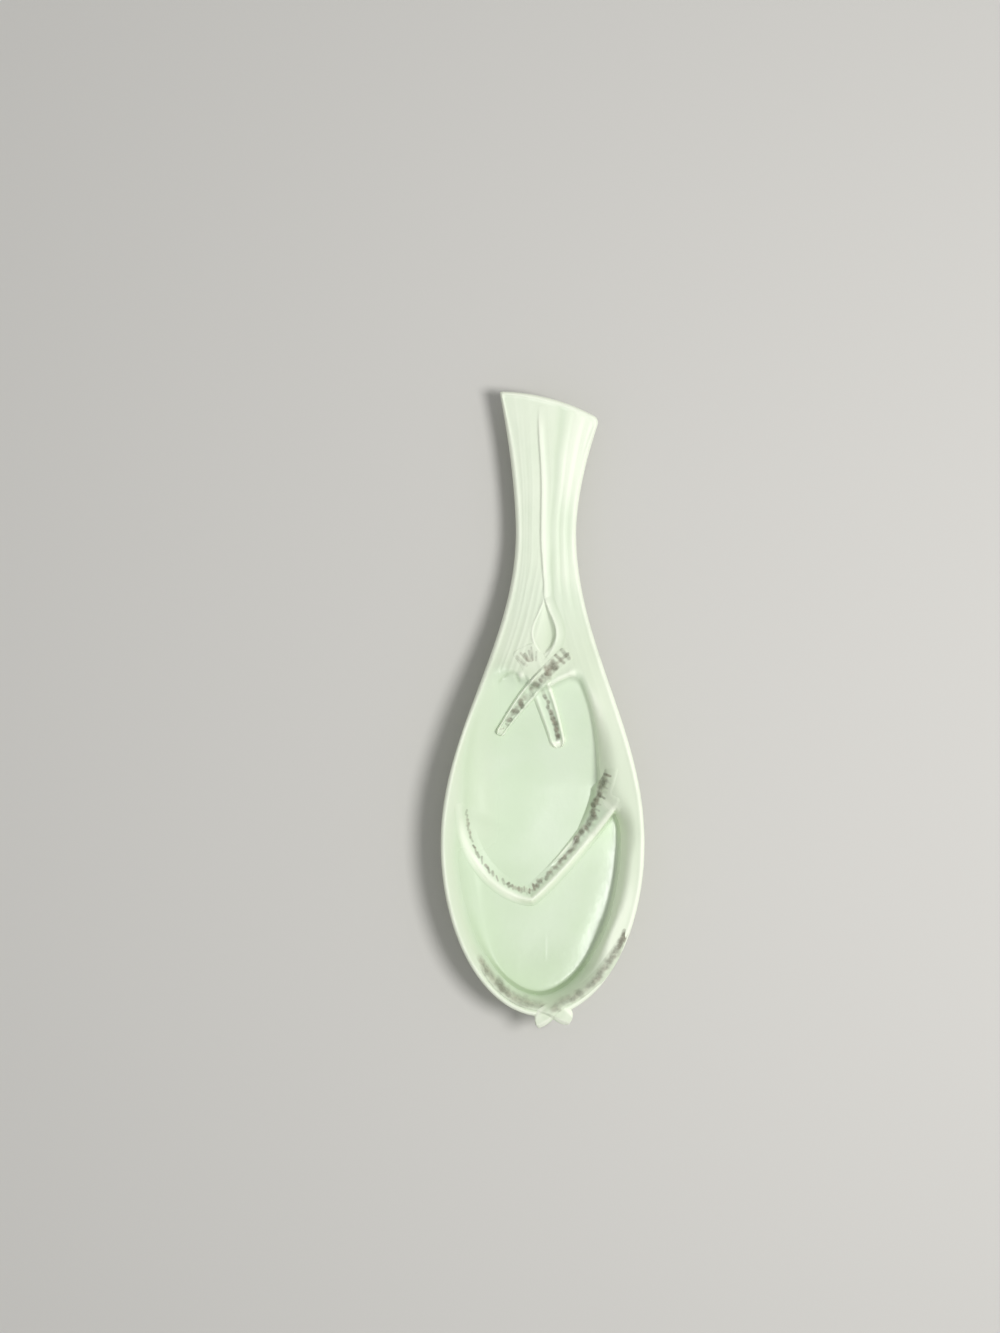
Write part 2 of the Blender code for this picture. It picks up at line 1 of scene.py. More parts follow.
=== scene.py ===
import bpy
import numpy as np
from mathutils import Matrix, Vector


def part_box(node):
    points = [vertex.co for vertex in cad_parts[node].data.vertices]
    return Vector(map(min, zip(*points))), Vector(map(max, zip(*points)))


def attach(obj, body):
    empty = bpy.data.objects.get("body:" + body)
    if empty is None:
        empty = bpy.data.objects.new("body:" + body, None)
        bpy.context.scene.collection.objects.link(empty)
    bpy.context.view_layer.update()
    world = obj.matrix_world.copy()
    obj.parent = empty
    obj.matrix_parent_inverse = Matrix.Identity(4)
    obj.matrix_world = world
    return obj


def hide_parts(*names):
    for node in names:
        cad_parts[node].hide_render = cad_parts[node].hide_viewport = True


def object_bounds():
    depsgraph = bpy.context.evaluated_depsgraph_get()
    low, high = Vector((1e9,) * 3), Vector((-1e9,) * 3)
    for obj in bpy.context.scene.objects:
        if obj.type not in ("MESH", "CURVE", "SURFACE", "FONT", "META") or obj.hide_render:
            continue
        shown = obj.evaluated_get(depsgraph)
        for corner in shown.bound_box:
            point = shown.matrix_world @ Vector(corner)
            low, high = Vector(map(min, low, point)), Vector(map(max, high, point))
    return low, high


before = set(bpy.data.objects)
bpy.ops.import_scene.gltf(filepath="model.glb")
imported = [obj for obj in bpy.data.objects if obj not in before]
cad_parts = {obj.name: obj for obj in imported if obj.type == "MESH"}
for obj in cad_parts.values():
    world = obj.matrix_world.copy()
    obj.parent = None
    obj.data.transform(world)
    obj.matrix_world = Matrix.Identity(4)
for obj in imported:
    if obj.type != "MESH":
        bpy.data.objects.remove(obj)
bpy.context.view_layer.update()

mm = 0.001  # the surfaces below are worked out in millimetres
weldDigits = 4  # points that agree to this many decimals of a millimetre become one


def nodeBox(node):
    return [np.array(corner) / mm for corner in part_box(node)]


# Curves and blends that every piece uses

def smooth(t):  # 0 to 1 with level ends
    t = np.clip(t, 0.0, 1.0)
    return t * t * (3.0 - 2.0 * t)


def fade(value, start, run):  # 0 up to a start, 1 a run past it. A negative run fades the other way
    return smooth((value - start) / run)


def part(value, strength, start, run):  # a strength that fades in
    return strength * fade(value, start, run)


def grow(value, low, run, start=0.0):  # from a low share up to 1
    return low + (1.0 - low) * fade(value, start, run)


def hill(offset, width):  # bell curve, 1 at the middle
    return np.exp(-(offset / width) ** 2)


def hillAt(value, place, width):
    return hill(value - place, width)


def spot(value, strength, place, width):  # a hill of some strength
    return strength * hill(value - place, width)


def softMin(a, b, blend):  # the lower of two, rounded where they meet
    near = np.maximum(blend - np.abs(a - b), 0.0) / blend
    return np.minimum(a, b) - near * near * blend / 4


def roundedEnd(travelled, radius):  # quarter circle from 0 up to 1
    t = np.clip(travelled / radius, 0.0, 1.0)
    return np.sqrt(1.0 - (1.0 - t) ** 2)


def bend(start, control, end, count):  # quadratic curve pulled towards its control point
    t = np.linspace(0.0, 1.0, count)[:, None]
    start, control, end = np.array(start), np.array(control), np.array(end)
    return (1 - t) ** 2 * start + 2 * t * (1 - t) * control + t ** 2 * end


def travelAlong(path):
    return np.concatenate([[0.0], np.cumsum(np.hypot(*np.diff(path, axis=0).T))])


def evenPath(path, count):  # the same path with evenly spaced points
    travelled = travelAlong(path)
    even = np.linspace(0.0, travelled[-1], count)
    return np.stack([np.interp(even, travelled, side) for side in path.T], axis=1)


def pathWay(path, reach):  # unit direction, averaged over a reach to each side
    travelled = travelAlong(path)
    ahead = np.stack([np.interp(travelled + reach, travelled, side) for side in path.T], axis=1)
    behind = np.stack([np.interp(travelled - reach, travelled, side) for side in path.T], axis=1)
    way = ahead - behind
    return way / np.hypot(*way.T)[:, None]


def nearPath(x, y, path):
    # nearest point of a polyline: distance travelled along it, and offset to the right of it
    step = np.diff(path, axis=0)
    length = np.hypot(*step.T)
    dx = x[..., None] - path[:-1, 0]
    dy = y[..., None] - path[:-1, 1]
    t = np.clip((dx * step[:, 0] + dy * step[:, 1]) / length ** 2, 0.0, 1.0)
    gap = np.hypot(dx - t * step[:, 0], dy - t * step[:, 1])
    side = np.sign(dx * step[:, 1] - dy * step[:, 0])
    best = gap.argmin(axis=-1)[..., None]
    along = travelAlong(path)[:-1] + t * length
    return [np.take_along_axis(values, best, axis=-1)[..., 0] for values in (along, gap * side)]


# Meshes from grids

def addPiece(name, grid, marks, material, nodes):
    # grid is rows x columns x 3 in mm. Columns run round a closed loop,
    # and the end rows shrink to a line or a point
    rows, columns = grid.shape[:2]
    index = np.arange(rows * columns).reshape(rows, columns)
    nextColumn = np.roll(index, -1, axis=1)
    a, b, c, d = index[:-1], nextColumn[:-1], nextColumn[1:], index[1:]
    triangles = np.concatenate([np.stack([a, b, c], axis=-1), np.stack([a, c, d], axis=-1)]).reshape(-1, 3)
    points = np.round(grid.reshape(-1, 3), weldDigits)
    points, first, welded = np.unique(points, axis=0, return_index=True, return_inverse=True)
    triangles = welded.reshape(-1)[triangles]
    whole = (triangles != np.roll(triangles, 1, axis=1)).all(axis=1)
    triangles = triangles[whole]
    p, q, r = points[triangles.T]
    if np.einsum("ij,ij->", p, np.cross(q, r)) < 0:  # signed volume tells which way the faces point
        triangles = triangles[:, ::-1]
    mesh = bpy.data.meshes.new(name)
    mesh.vertices.add(len(points))
    mesh.vertices.foreach_set("co", (points * mm).astype(np.float32).ravel())
    mesh.loops.add(triangles.size)
    mesh.loops.foreach_set("vertex_index", triangles.astype(np.int32).ravel())
    mesh.polygons.add(len(triangles))
    mesh.polygons.foreach_set("loop_start", np.arange(0, triangles.size, 3, dtype=np.int32))
    mesh.update(calc_edges=True)
    mesh.validate()
    mesh.shade_smooth()
    for label, values in marks.items():
        layer = mesh.attributes.new(label, "FLOAT", "POINT")
        layer.data.foreach_set("value", values.reshape(-1)[first].astype(np.float32))
    mesh.materials.append(material)
    piece = bpy.data.objects.new(name, mesh)
    bpy.context.scene.collection.objects.link(piece)
    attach(piece, "root")
    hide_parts(*nodes)
    print(f"{name}: {len(triangles)} triangles")


# Glaze and clay

class Shade:
    # one socket of a node tree. Arithmetic on it adds Math nodes

    def __init__(self, tree, socket=None):
        self.tree = tree
        self.socket = socket

    def make(self, kind, settings=None, inputs=None, output=0):
        node = self.tree.nodes.new("ShaderNode" + kind)
        for name, value in (settings or {}).items():
            setattr(node, name, value)
        for name, value in (inputs or {}).items():
            if isinstance(value, Shade):
                self.tree.links.new(value.socket, node.inputs[name])
            else:
                node.inputs[name].default_value = value
        return Shade(self.tree, node.outputs[output])

    def math(self, operation, first, second=0.0):
        return self.make("Math", {"operation": operation}, {0: first, 1: second})

    def __add__(self, other):
        return self.math("ADD", self, other)

    __radd__ = __add__

    def __sub__(self, other):
        return self.math("SUBTRACT", self, other)

    def __rsub__(self, other):
        return self.math("SUBTRACT", other, self)

    def __mul__(self, other):
        return self.math("MULTIPLY", self, other)

    __rmul__ = __mul__

    def between(self, low, high):  # eased from 0 at low to 1 at high
        settings = {"interpolation_type": "SMOOTHSTEP"}
        return self.make("MapRange", settings, {"Value": self, "From Min": low, "From Max": high})

    def mix(self, first, second):  # colours, by this value
        return self.make("Mix", {"data_type": "RGBA"}, {0: self, 6: first, 7: second}, 2)

    def attribute(self, name):
        return self.make("Attribute", {"attribute_name": name}, output="Fac")

    def noise(self, place, scale, detail=2.0, distortion=0.0):
        values = {"Vector": place, "Scale": scale, "Detail": detail, "Distortion": distortion}
        return self.make("TexNoise", None, values)


def paint(red, green, blue):  # screen colour 0-255 to the linear colour that sockets take
    screen = np.array([red, green, blue]) / 255
    linear = np.where(screen <= 0.04045, screen / 12.92, ((screen + 0.055) / 1.055) ** 2.4)
    return (*linear.tolist(), 1.0)


glaze = {
    "body": paint(215, 231, 203),
    "cloud": paint(221, 234, 211),
    "skin": paint(215, 225, 200),  # round the wells
    # whiter glaze, also used for painted highlights and painted light
    "thinAndSheen": paint(243, 249, 229),
    # greener glaze where it pools, also used for painted shade
    "poolAndShade": paint(184, 202, 168),
    "pigment": paint(100, 95, 79),
    "palePigment": paint(164, 155, 137),
    "speck": paint(120, 112, 92),
    "skinCover": 0.8,
    "speckCover": 0.6,
    "pigmentCover": 0.9,
    "cloudScale": 38.0,
    "streakScale": 260.0,
    "streakStretch": (1.0, 0.3, 1.0),  # less than 1 draws the streaks out along that axis
    "speckScale": 75.0,
    "speckSize": (0.012, 0.03),
    "speckShare": (0.93, 0.94),  # only cells numbered above this carry a speck
    "grainScale": 900.0,  # grain and blotches of the brush work
    "blotchScale": 330.0,
    "rippleScale": 420.0,
    "rippleDepth": 0.00012,
    "rippleStrength": 0.35,
    "gloss": 0.24,
    "dryness": 0.24,  # rougher on the skin round the wells
    "refraction": 1.5,
}


def startMaterial(name):
    material = bpy.data.materials.new(name)
    material.use_nodes = True
    shader = material.node_tree.nodes["Principled BSDF"]
    return material, shader, Shade(material.node_tree)


def feed(shade, shader, name):
    shade.tree.links.new(shade.socket, shader.inputs[name])


def glazeFinish(name, brushed):
    # pale green glaze: cloudy body, whiter where it runs thin over ridges, greener where it pools. The whiter
    # colour also carries painted highlights and painted light, and the greener one painted shade
    material, shader, start = startMaterial(name)
    place = start.make("TexCoord", output="Object")
    cloud = start.noise(place, glaze["cloudScale"], 3.0).between(0.35, 0.7)
    colour = cloud.mix(glaze["body"], glaze["cloud"])
    dry = start.attribute("dry")
    colour = (dry * glaze["skinCover"]).mix(colour, glaze["skin"])
    streaked = start.make("VectorMath", {"operation": "MULTIPLY"}, {0: place, 1: glaze["streakStretch"]})
    fine = start.noise(streaked, glaze["streakScale"], 3.0)
    # greener: pooled glaze, with painted shade at the walls' feet and towards the bowl's end
    poolAndShade = start.attribute("poolAndShade") * (0.75 + 0.5 * fine)
    colour = poolAndShade.mix(colour, glaze["poolAndShade"])
    # whiter: thin glaze, with painted highlights and painted light on the tray
    thinAndSheen = (start.attribute("thinAndSheen") * (0.7 + 0.6 * fine)).between(0.0, 1.0)
    colour = thinAndSheen.mix(colour, glaze["thinAndSheen"])
    settings = {"feature": "F1", "distance": "EUCLIDEAN"}
    cells = {"Vector": place, "Scale": glaze["speckScale"]}
    fromMiddle = start.make("TexVoronoi", settings, cells, "Distance")
    number = start.make("TexVoronoi", settings, cells, "Color")
    chosen = start.make("SeparateColor", None, {"Color": number}).between(*glaze["speckShare"])
    speck = chosen * (1.0 - fromMiddle.between(*glaze["speckSize"])) * glaze["speckCover"]
    colour = speck.mix(colour, glaze["speck"])
    if brushed:
        brush = start.attribute("brush")
        grain = start.noise(place, glaze["grainScale"], 4.0, 0.6)
        blotch = start.noise(place, glaze["blotchScale"], 2.0)
        laid = (brush * (0.6 + 0.8 * grain)).between(0.05, 1.05)
        tone = blotch.between(0.4, 0.68) * (1.0 - 0.5 * brush)
        pigment = tone.mix(glaze["pigment"], glaze["palePigment"])
        colour = (laid * glaze["pigmentCover"]).mix(colour, pigment)
    feed(colour, shader, "Base Color")
    rough = glaze["gloss"] + 0.08 * (fine - 0.5) + glaze["dryness"] * dry
    feed(rough, shader, "Roughness")
    ripple = start.noise(place, glaze["rippleScale"], 2.0)
    depth = {"Strength": glaze["rippleStrength"], "Distance": glaze["rippleDepth"], "Height": ripple}
    feed(start.make("Bump", None, depth), shader, "Normal")
    shader.inputs["IOR"].default_value = glaze["refraction"]
    return material


clay = {
    "pale": paint(224, 212, 190),
    "dark": paint(196, 180, 154),
    "grog": paint(150, 128, 100),
    "grogCover": 0.6,
    "mottleScale": 140.0,
    "grainScale": 2200.0,
    "grainDepth": 0.0001,
    "grainStrength": 0.5,
    "roughness": 0.78,
}


def clayFinish(name):
    # unglazed stoneware: matt, mottled, with fine darker grains
    material, shader, start = startMaterial(name)
    place = start.make("TexCoord", output="Object")
    mottle = start.noise(place, clay["mottleScale"], 4.0).between(0.3, 0.7)
    grain = start.noise(place, clay["grainScale"], 2.0)
    colour = mottle.mix(clay["pale"], clay["dark"])
    colour = (grain.between(0.66, 0.74) * clay["grogCover"]).mix(colour, clay["grog"])
    feed(colour, shader, "Base Color")
    feed(clay["roughness"] + 0.2 * (mottle - 0.5), shader, "Roughness")
    depth = {"Strength": clay["grainStrength"], "Distance": clay["grainDepth"], "Height": grain}
    feed(start.make("Bump", None, depth), shader, "Normal")
    return material


celadonGlaze = glazeFinish("celadon_glaze", False)
brushedGlaze = glazeFinish("brushed_glaze", True)
bareClay = clayFinish("bare_clay")
print("finishes made")


# The tray: a husk-shaped dish with two wells, a flared handle and a rounded rim.
# In the lists below, two numbers are the start and run of a fade, or the place and width of a hill.
# Three are a strength and such a pair, or the low share, run and start of something that grows

trayLow, trayHigh = nodeBox("tray")
tray = {
    "bowlEnd": 65.0,  # widest line to the bowl's end
    "shoulder": 117.0,  # widest line to the neck
    "handle": 53.3,  # neck to the long left corner
    "slant": 10.4,
    "endBulge": 2.4,
    "rightRound": 2.6,
    "leftRound": 1.2,
    "neckWidth": 22.8,
    "neckShift": 1.4,
    "flareLeft": 6.2,
    "flareRight": 8.9,
    "flarePower": 1.7,
    "floorThickness": 5.3,
    "wellDepth": 13.0,
    "handleDrop": 7.5,
    "handleLift": 4.5,
    "rimLevel": 35.0,
    "crown": 2.0,
    "wall": 4.7,
    "rimRound": 1.4,
    "rimBead": (0.25, 1.3, 0.8),  # from the edge
    "lip": 2.0,
    "hullFullness": 1.8,
    "wallRun": 9.5,
    "headRun": 5.0,
    "headFade": 26.0,  # length over which the wall gets that steep
    "lowRightRun": 7.0,
    "pinch": (2.4, -84.0, 9.0),  # how much less the lower well's right wall runs where it is steepest
    "pinchX": (10.0, 10.0),
    "wallPower": 3.5,
    "fillet": 0.25,
    "leftFillet": 3.2,
    "leftFilletX": (4.0, -24.0),
    "leftFilletY": (-102.0, 36.0),
    "floorRise": 9.0,
    "floorDish": 0.5,
    "dishReach": 9.0,  # how far in from a well's edge it falls
    "endDish": (0.25, 24.0, -106.0),  # it is less at the bowl's end and towards the head
    "headDish": (0.5, -58.0, 16.0),
    "crease": 0.05,  # a fine groove in the lower well's floor
    "creaseX": (1.2, 0.5),
    "creaseTop": (-84.0, -4.0),
    "creaseEnd": (-97.0, 4.0),
    "wellBlend": 5.0,
    "shoulderSag": (2.0, 8.0, 10.0),  # the right shoulder falls a little towards the wells
    "sagOuter": (20.0, 16.0),
    "sagY": (-28.0, 20.0),
    "swells": (0.05, 0.04),
    # points along each stretch of the edge, and rows of the profile from the spine round to the spine
    "points": {"bowlEnd": 91, "shoulder": 151, "handle": 66, "handleEnd": 61, "corner": 9},
    "rows": {"top": 79, "rim": 10, "lip": 5, "hull": 26, "base": 4},
    "spineGap": 0.25,
    "spineProbe": 0.2,
    "floorProbes": 301,
    "hullEase": 18,
    "softenings": 5,
}
halfBowl = (trayHigh[0] - trayLow[0]) / 2
yEnd = trayLow[1]
yWide = yEnd + tray["bowlEnd"]
yNeck = yWide + tray["shoulder"]
yLeftCorner = yNeck + tray["handle"]
yRightCorner = yLeftCorner - tray["slant"]
baseZ = trayLow[2]
floorZ = baseZ + tray["floorThickness"]
rimZ = floorZ + tray["wellDepth"]
upperWell = {"x": -3.7, "y": yWide + 19.0, "half": halfBowl - 13.6, "above": 55.0, "below": 36.0,
             "squareAbove": 2.0, "squareBelow": 1.9, "lean": 1.4}
headV = {"drop": 4.6, "slope": 0.47, "round": 1.5, "blend": 4.0}
lowerWell = {"x": -1.2, "y": yWide, "half": halfBowl - 8.2, "above": 14.0, "below": tray["bowlEnd"] - 8.0,
             "squareAbove": 4.0, "squareBelow": 1.9, "lean": 0.0}
yHead = upperWell["y"] + 42.3
fork = {"y": yHead + 30.5, "length": 23.0, "shift": -0.4, "sag": 1.5, "width": 9.2, "depth": 1.5,
        "leftSlope": 1.5, "rightSlope": 0.45}  # how far each side of the hollow slopes in, in half widths

# lengthwise folds of the stalk: place across (-1 left edge, 1 right edge), width, height in mm
stalkFolds = (
    (0.16, 0.07, -0.14), (0.33, 0.08, 0.13), (0.44, 0.04, -0.09), (0.58, 0.06, 0.10), (0.70, 0.04, -0.09),
    (0.82, 0.04, 0.08), (-0.30, 0.12, -0.05), (-0.46, 0.03, 0.03), (-0.60, 0.04, -0.04), (-0.74, 0.03, 0.04),
)
# fine veins along the shoulders: distance from the edge, width, height in mm
leftVeins = (
    (4.4, 0.50, 0.05), (5.9, 0.40, 0.08), (7.1, 0.55, -0.06), (8.4, 0.45, 0.10), (10.4, 0.50, 0.07),
    (11.5, 0.40, -0.06), (13.4, 0.60, 0.08),
)
rightVeins = ((4.9, 0.70, 0.05), (7.6, 0.50, 0.06), (10.3, 0.60, -0.05))
folds = {
    "stalk": (22.0, 26.0),
    "flatter": (0.25, 20.0, 25.0),  # the folds get lower past the neck
    "shoulder": (-12.0, 22.0),
    "shoulderEnd": (44.0, 20.0),
    "slant": 0.93,  # the shoulder's outline slants, so distance across it is a little less than along x
    "wavers": ((0.03, 11.0, 0.0), (0.015, 4.3, 1.0)),  # size, length and phase
    "veinWaver": 6.0,
}

# ridges and grooves round the head of the upper well: path, width, height
headRidge = bend((0.9, 7.8), (5.6, 11.6), (11.1, 13.6), 10)
leftArch = bend((-17.0, 9.3), (-10.9, 17.9), (-8.8, 10.0), 14)
headLines = ((headRidge, 0.85, 0.9), (leftArch, 0.6, -0.45))
headFade = {"start": 2.0, "end": 1.5, "left": 0.3}
headBlobs = ((11.3, 13.5, 1.4, 0.75), (-8.1, 12.7, 1.3, 0.55))  # x, y, width, height
lowWall = {"x": (6.0, 14.0), "top": (-46.0, -12.0), "end": (-104.0, 16.0)}  # the lower well's right wall


def halfWidth(y):  # an ellipse below the widest line, a cosine sweep from there to the neck
    below = np.clip((y - yWide) / tray["bowlEnd"], -1.0, 0.0)
    above = np.clip((y - yWide) / tray["shoulder"], 0.0, 1.0)
    narrowing = (2 * halfBowl - tray["neckWidth"]) * (1.0 - np.cos(np.pi * above)) / 4
    return halfBowl * np.sqrt(1.0 - below ** 2) - narrowing


def middleX(y):
    return tray["neckShift"] * smooth((y - yWide) / tray["shoulder"])


def rightEdge(y):  # the half width, and past the neck a flare that grows as a power of the distance
    run = np.clip((y - yNeck) / (yRightCorner - yNeck), 0.0, None)
    return middleX(y) + halfWidth(y) + tray["flareRight"] * run ** tray["flarePower"]


def leftEdge(y):
    run = np.clip((y - yNeck) / (yLeftCorner - yNeck), 0.0, None)
    return middleX(y) - halfWidth(y) - tray["flareLeft"] * run ** tray["flarePower"]


def eggAway(x, y, egg):
    # nearly the distance outside an egg: (superellipse radius - 1) over the radius's gradient
    lean = egg["lean"] * smooth((y - egg["y"]) / egg["above"])
    up = y > egg["y"]
    length = np.where(up, egg["above"], egg["below"])
    power = np.where(up, egg["squareAbove"], egg["squareBelow"])
    dx = np.abs(x - lean - egg["x"]) / egg["half"]
    dy = np.abs(y - egg["y"]) / length
    rho = np.maximum((dx ** power + dy ** power) ** (1.0 / power), 1e-6)
    slope = np.hypot((dx / rho) ** (power - 1) / egg["half"], (dy / rho) ** (power - 1) / length)
    return (rho - 1.0) / slope


def wellAway(x, y):
    # distance outside both wells. The upper one is cut off along a V with a rounded foot
    above = y - yHead + headV["drop"] - headV["slope"] * np.hypot(x, headV["round"])
    above = above / np.hypot(1.0, headV["slope"])
    upper = -softMin(-eggAway(x, y, upperWell), -above, headV["blend"])
    return softMin(upper, eggAway(x, y, lowerWell), tray["wellBlend"])


def acrossShare(x, y):  # -1 at the left edge, 1 at the right
    upperY = np.maximum(y, yWide)
    left, right = leftEdge(upperY), rightEdge(upperY)
    return (2 * x - left - right) / (right - left)


def skinHeight(x, y):  # rim level, plus a crown that falls as the square of the way to the edge
    fall = (y - yWide - tray["rimLevel"]) / (tray["shoulder"] - tray["rimLevel"])
    below = np.minimum(y - yWide, 0.0) / tray["bowlEnd"]
    rim = rimZ - tray["handleDrop"] * smooth(fall)
    return rim + tray["crown"] * (1.0 - acrossShare(x, y) ** 2 - below ** 2)


def forkX(y):
    return middleX(y) + fork["shift"]


def forkSpread(share):  # 0 at both ends of the fork, 1 at its widest
    return np.sin(np.pi * np.clip(share, 0.0, 1.0) ** fork["sag"])


def hollowShare(x, y):  # 1 in the middle of the almond inside the fork, 0 at its edge
    spread = forkSpread((fork["y"] - y) / fork["length"])
    half = np.maximum(fork["width"] / 2 * spread, 0.01)
    place = (x - forkX(y)) / half
    return spread * smooth((1.0 + place) / fork["leftSlope"]) * smooth((1.0 - place) / fork["rightSlope"])


def skinDetail(x, y):  # bell-shaped ridges and grooves along the stalk and the shoulders
    share = acrossShare(x, y)
    waver = sum(size * np.sin(y / length + phase) for size, length, phase in folds["wavers"])
    relief = sum(height * hill(share - place - waver * (1 - abs(place)), width)
                 for place, width, height in stalkFolds)
    onStalk = fade(y, *folds["stalk"]) * (1.0 - part(y - yNeck, *folds["flatter"]))
    left, right = (x - leftEdge(y)) * folds["slant"], (rightEdge(y) - x) * folds["slant"]
    drift = folds["veinWaver"] * waver
    veins = sum(height * hill(left - place - drift, width) for place, width, height in leftVeins)
    veins = veins + sum(height * hill(right - place + drift, width) for place, width, height in rightVeins)
    onShoulder = fade(y, *folds["shoulder"]) * (1.0 - fade(y, *folds["shoulderEnd"]))
    return relief * onStalk + veins * onShoulder


def headDetail(x, y):  # the same round the upper well's head, fading at the ends of each path
    relief = 0.0 * x
    for path, width, height in headLines:
        along, offset = nearPath(x, y, path)
        start = smooth(along / headFade["start"])
        end = smooth((travelAlong(path)[-1] - along) / headFade["end"] + headFade["left"])
        relief = relief + height * hill(offset, width) * start * end
    for blobX, blobY, width, height in headBlobs:
        relief = relief + height * hill(np.hypot(x - blobX, y - blobY), width)
    return relief


def unevenness(x, y):  # slow sine swells left by casting and firing
    slow, quick = tray["swells"]
    return slow * np.sin(x / 7.0 + 0.6) * np.sin(y / 11.0) + quick * np.sin(x / 4.1 - y / 6.3)


def lowRight(x, y):  # 1 along the lower well's right wall
    return fade(x, *lowWall["x"]) * fade(y, *lowWall["top"]) * fade(y, *lowWall["end"])


def floorHeight(x, y, away):  # rises to the head, dished, with a fine crease at the bowl's end
    floor = floorZ + tray["floorRise"] * smooth((y - upperWell["y"]) / (yHead - upperWell["y"]))
    dish = tray["floorDish"] * grow(y, *tray["endDish"]) * (1.0 - part(y, *tray["headDish"]))
    floor = floor + dish * np.clip(1.0 + away / tray["dishReach"], 0.0, 1.0) ** 2
    crease = hillAt(x, *tray["creaseX"]) * fade(y, *tray["creaseTop"]) * fade(y, *tray["creaseEnd"])
    return floor - tray["crease"] * crease


def trayTop(x, y):
    # floor plus (skin - floor) times a wall, 1 - (1 - step) to a power, filleted at the floor.
    # Finer relief is added to it
    away = wellAway(x, y)
    atHead = smooth((y - yHead + tray["headFade"]) / tray["headFade"])
    run = tray["wallRun"] + (tray["headRun"] - tray["wallRun"]) * atHead
    run = run + (tray["lowRightRun"] - tray["wallRun"]) * lowRight(x, y)
    run = run - spot(y, *tray["pinch"]) * fade(x, *tray["pinchX"])
    step = away / run
    soft = fade(x, *tray["leftFilletX"]) * fade(y, *tray["leftFilletY"])
    fillet = (tray["fillet"] + (tray["leftFillet"] - tray["fillet"]) * soft) / run
    eased = np.clip((step + np.sqrt(step ** 2 + fillet ** 2)) / 2, 0.0, 1.0)
    rise = 1.0 - (1.0 - eased) ** tray["wallPower"]
    floor = floorHeight(x, y, away)
    sag = part(x, *tray["shoulderSag"]) * (1.0 - fade(x, *tray["sagOuter"])) * hillAt(y, *tray["sagY"])
    skin = skinHeight(x, y) - fork["depth"] * hollowShare(x, y) - sag
    detail = skinDetail(x, y) * smooth(step * 3.0) + headDetail(x, y) * smooth((step + 0.4) * 2.5)
    return floor + (skin - floor) * rise + detail + unevenness(x, y)


def baseHeight(y):  # flat under the bowl, lifted under the handle
    return baseZ + tray["handleLift"] * smooth((y - yHead) / (yNeck - yHead))


def trayStations():
    # points round the edge, right side up and left side down,
    # each facing the foot of its normal on the middle line
    points = tray["points"]
    angle = np.linspace(-np.pi / 2, 0.0, points["bowlEnd"])
    shoulder = np.linspace(yWide, yNeck, points["shoulder"])[1:]
    lower = np.concatenate([yWide + tray["bowlEnd"] * np.sin(angle), shoulder])
    share = np.linspace(0.0, 1.0, points["handle"])[1:]
    right = np.concatenate([lower, yNeck + share * (yRightCorner - tray["rightRound"] - yNeck)])
    left = np.concatenate([lower, yNeck + share * (yLeftCorner - tray["leftRound"] - yNeck)])
    # the foot of a normal lies half the slope of the squared half width away
    middle = np.maximum((right + left) / 2, yEnd + tray["spineGap"])
    probe = tray["spineProbe"]
    square = [((rightEdge(middle + d) - leftEdge(middle + d)) / 2) ** 2 for d in (-probe, probe)]
    spineY = middle + (square[1] - square[0]) / (4 * probe)
    spineY = np.minimum(spineY, yRightCorner - tray["neckWidth"] / 2)
    spine = np.stack([(leftEdge(spineY) + rightEdge(spineY)) / 2, spineY], axis=1)
    rightSide = np.stack([rightEdge(right), right], axis=1)
    leftSide = np.stack([leftEdge(left), left], axis=1)
    rightCorner = np.array([rightEdge(yRightCorner), yRightCorner])
    leftCorner = np.array([leftEdge(yLeftCorner), yLeftCorner])
    chord = leftCorner - rightCorner
    outward = np.array([chord[1], -chord[0]]) / np.hypot(*chord)
    cut = np.array([tray["rightRound"], tray["leftRound"]]) / np.hypot(*chord)
    share = np.linspace(cut[0], 1.0 - cut[1], points["handleEnd"])[:, None]
    end = rightCorner + share * chord + 4 * tray["endBulge"] * share * (1 - share) * outward
    turnRight = bend(rightSide[-1], rightCorner, end[0], points["corner"])[1:-1]
    turnLeft = bend(end[-1], leftCorner, leftSide[-1], points["corner"])[1:-1]
    end = np.concatenate([turnRight, end, turnLeft])
    edge = np.concatenate([rightSide, end, leftSide[:0:-1]])
    facing = np.concatenate([spine, np.repeat(spine[-1:], len(end), axis=0), spine[:0:-1]])
    return edge, facing


def wayIn(edge, facing, share):  # points at a share of the way from the edge to the spine
    return [edge[:, side] + (facing - edge)[:, side] * share for side in (0, 1)]


def floorStart(edge, facing):  # share of the way in at which each station reaches a well's floor
    share = np.linspace(0.0, 1.0, tray["floorProbes"])
    x, y = wayIn(edge, facing, share[:, None])
    inside = wellAway(x, y) < 0
    return np.where(inside.any(axis=0), share[inside.argmax(axis=0)], 1.0)


def loopMean(values, reach):  # running mean round a closed loop
    return np.mean([np.roll(values, shift) for shift in range(-reach, reach + 1)], axis=0)
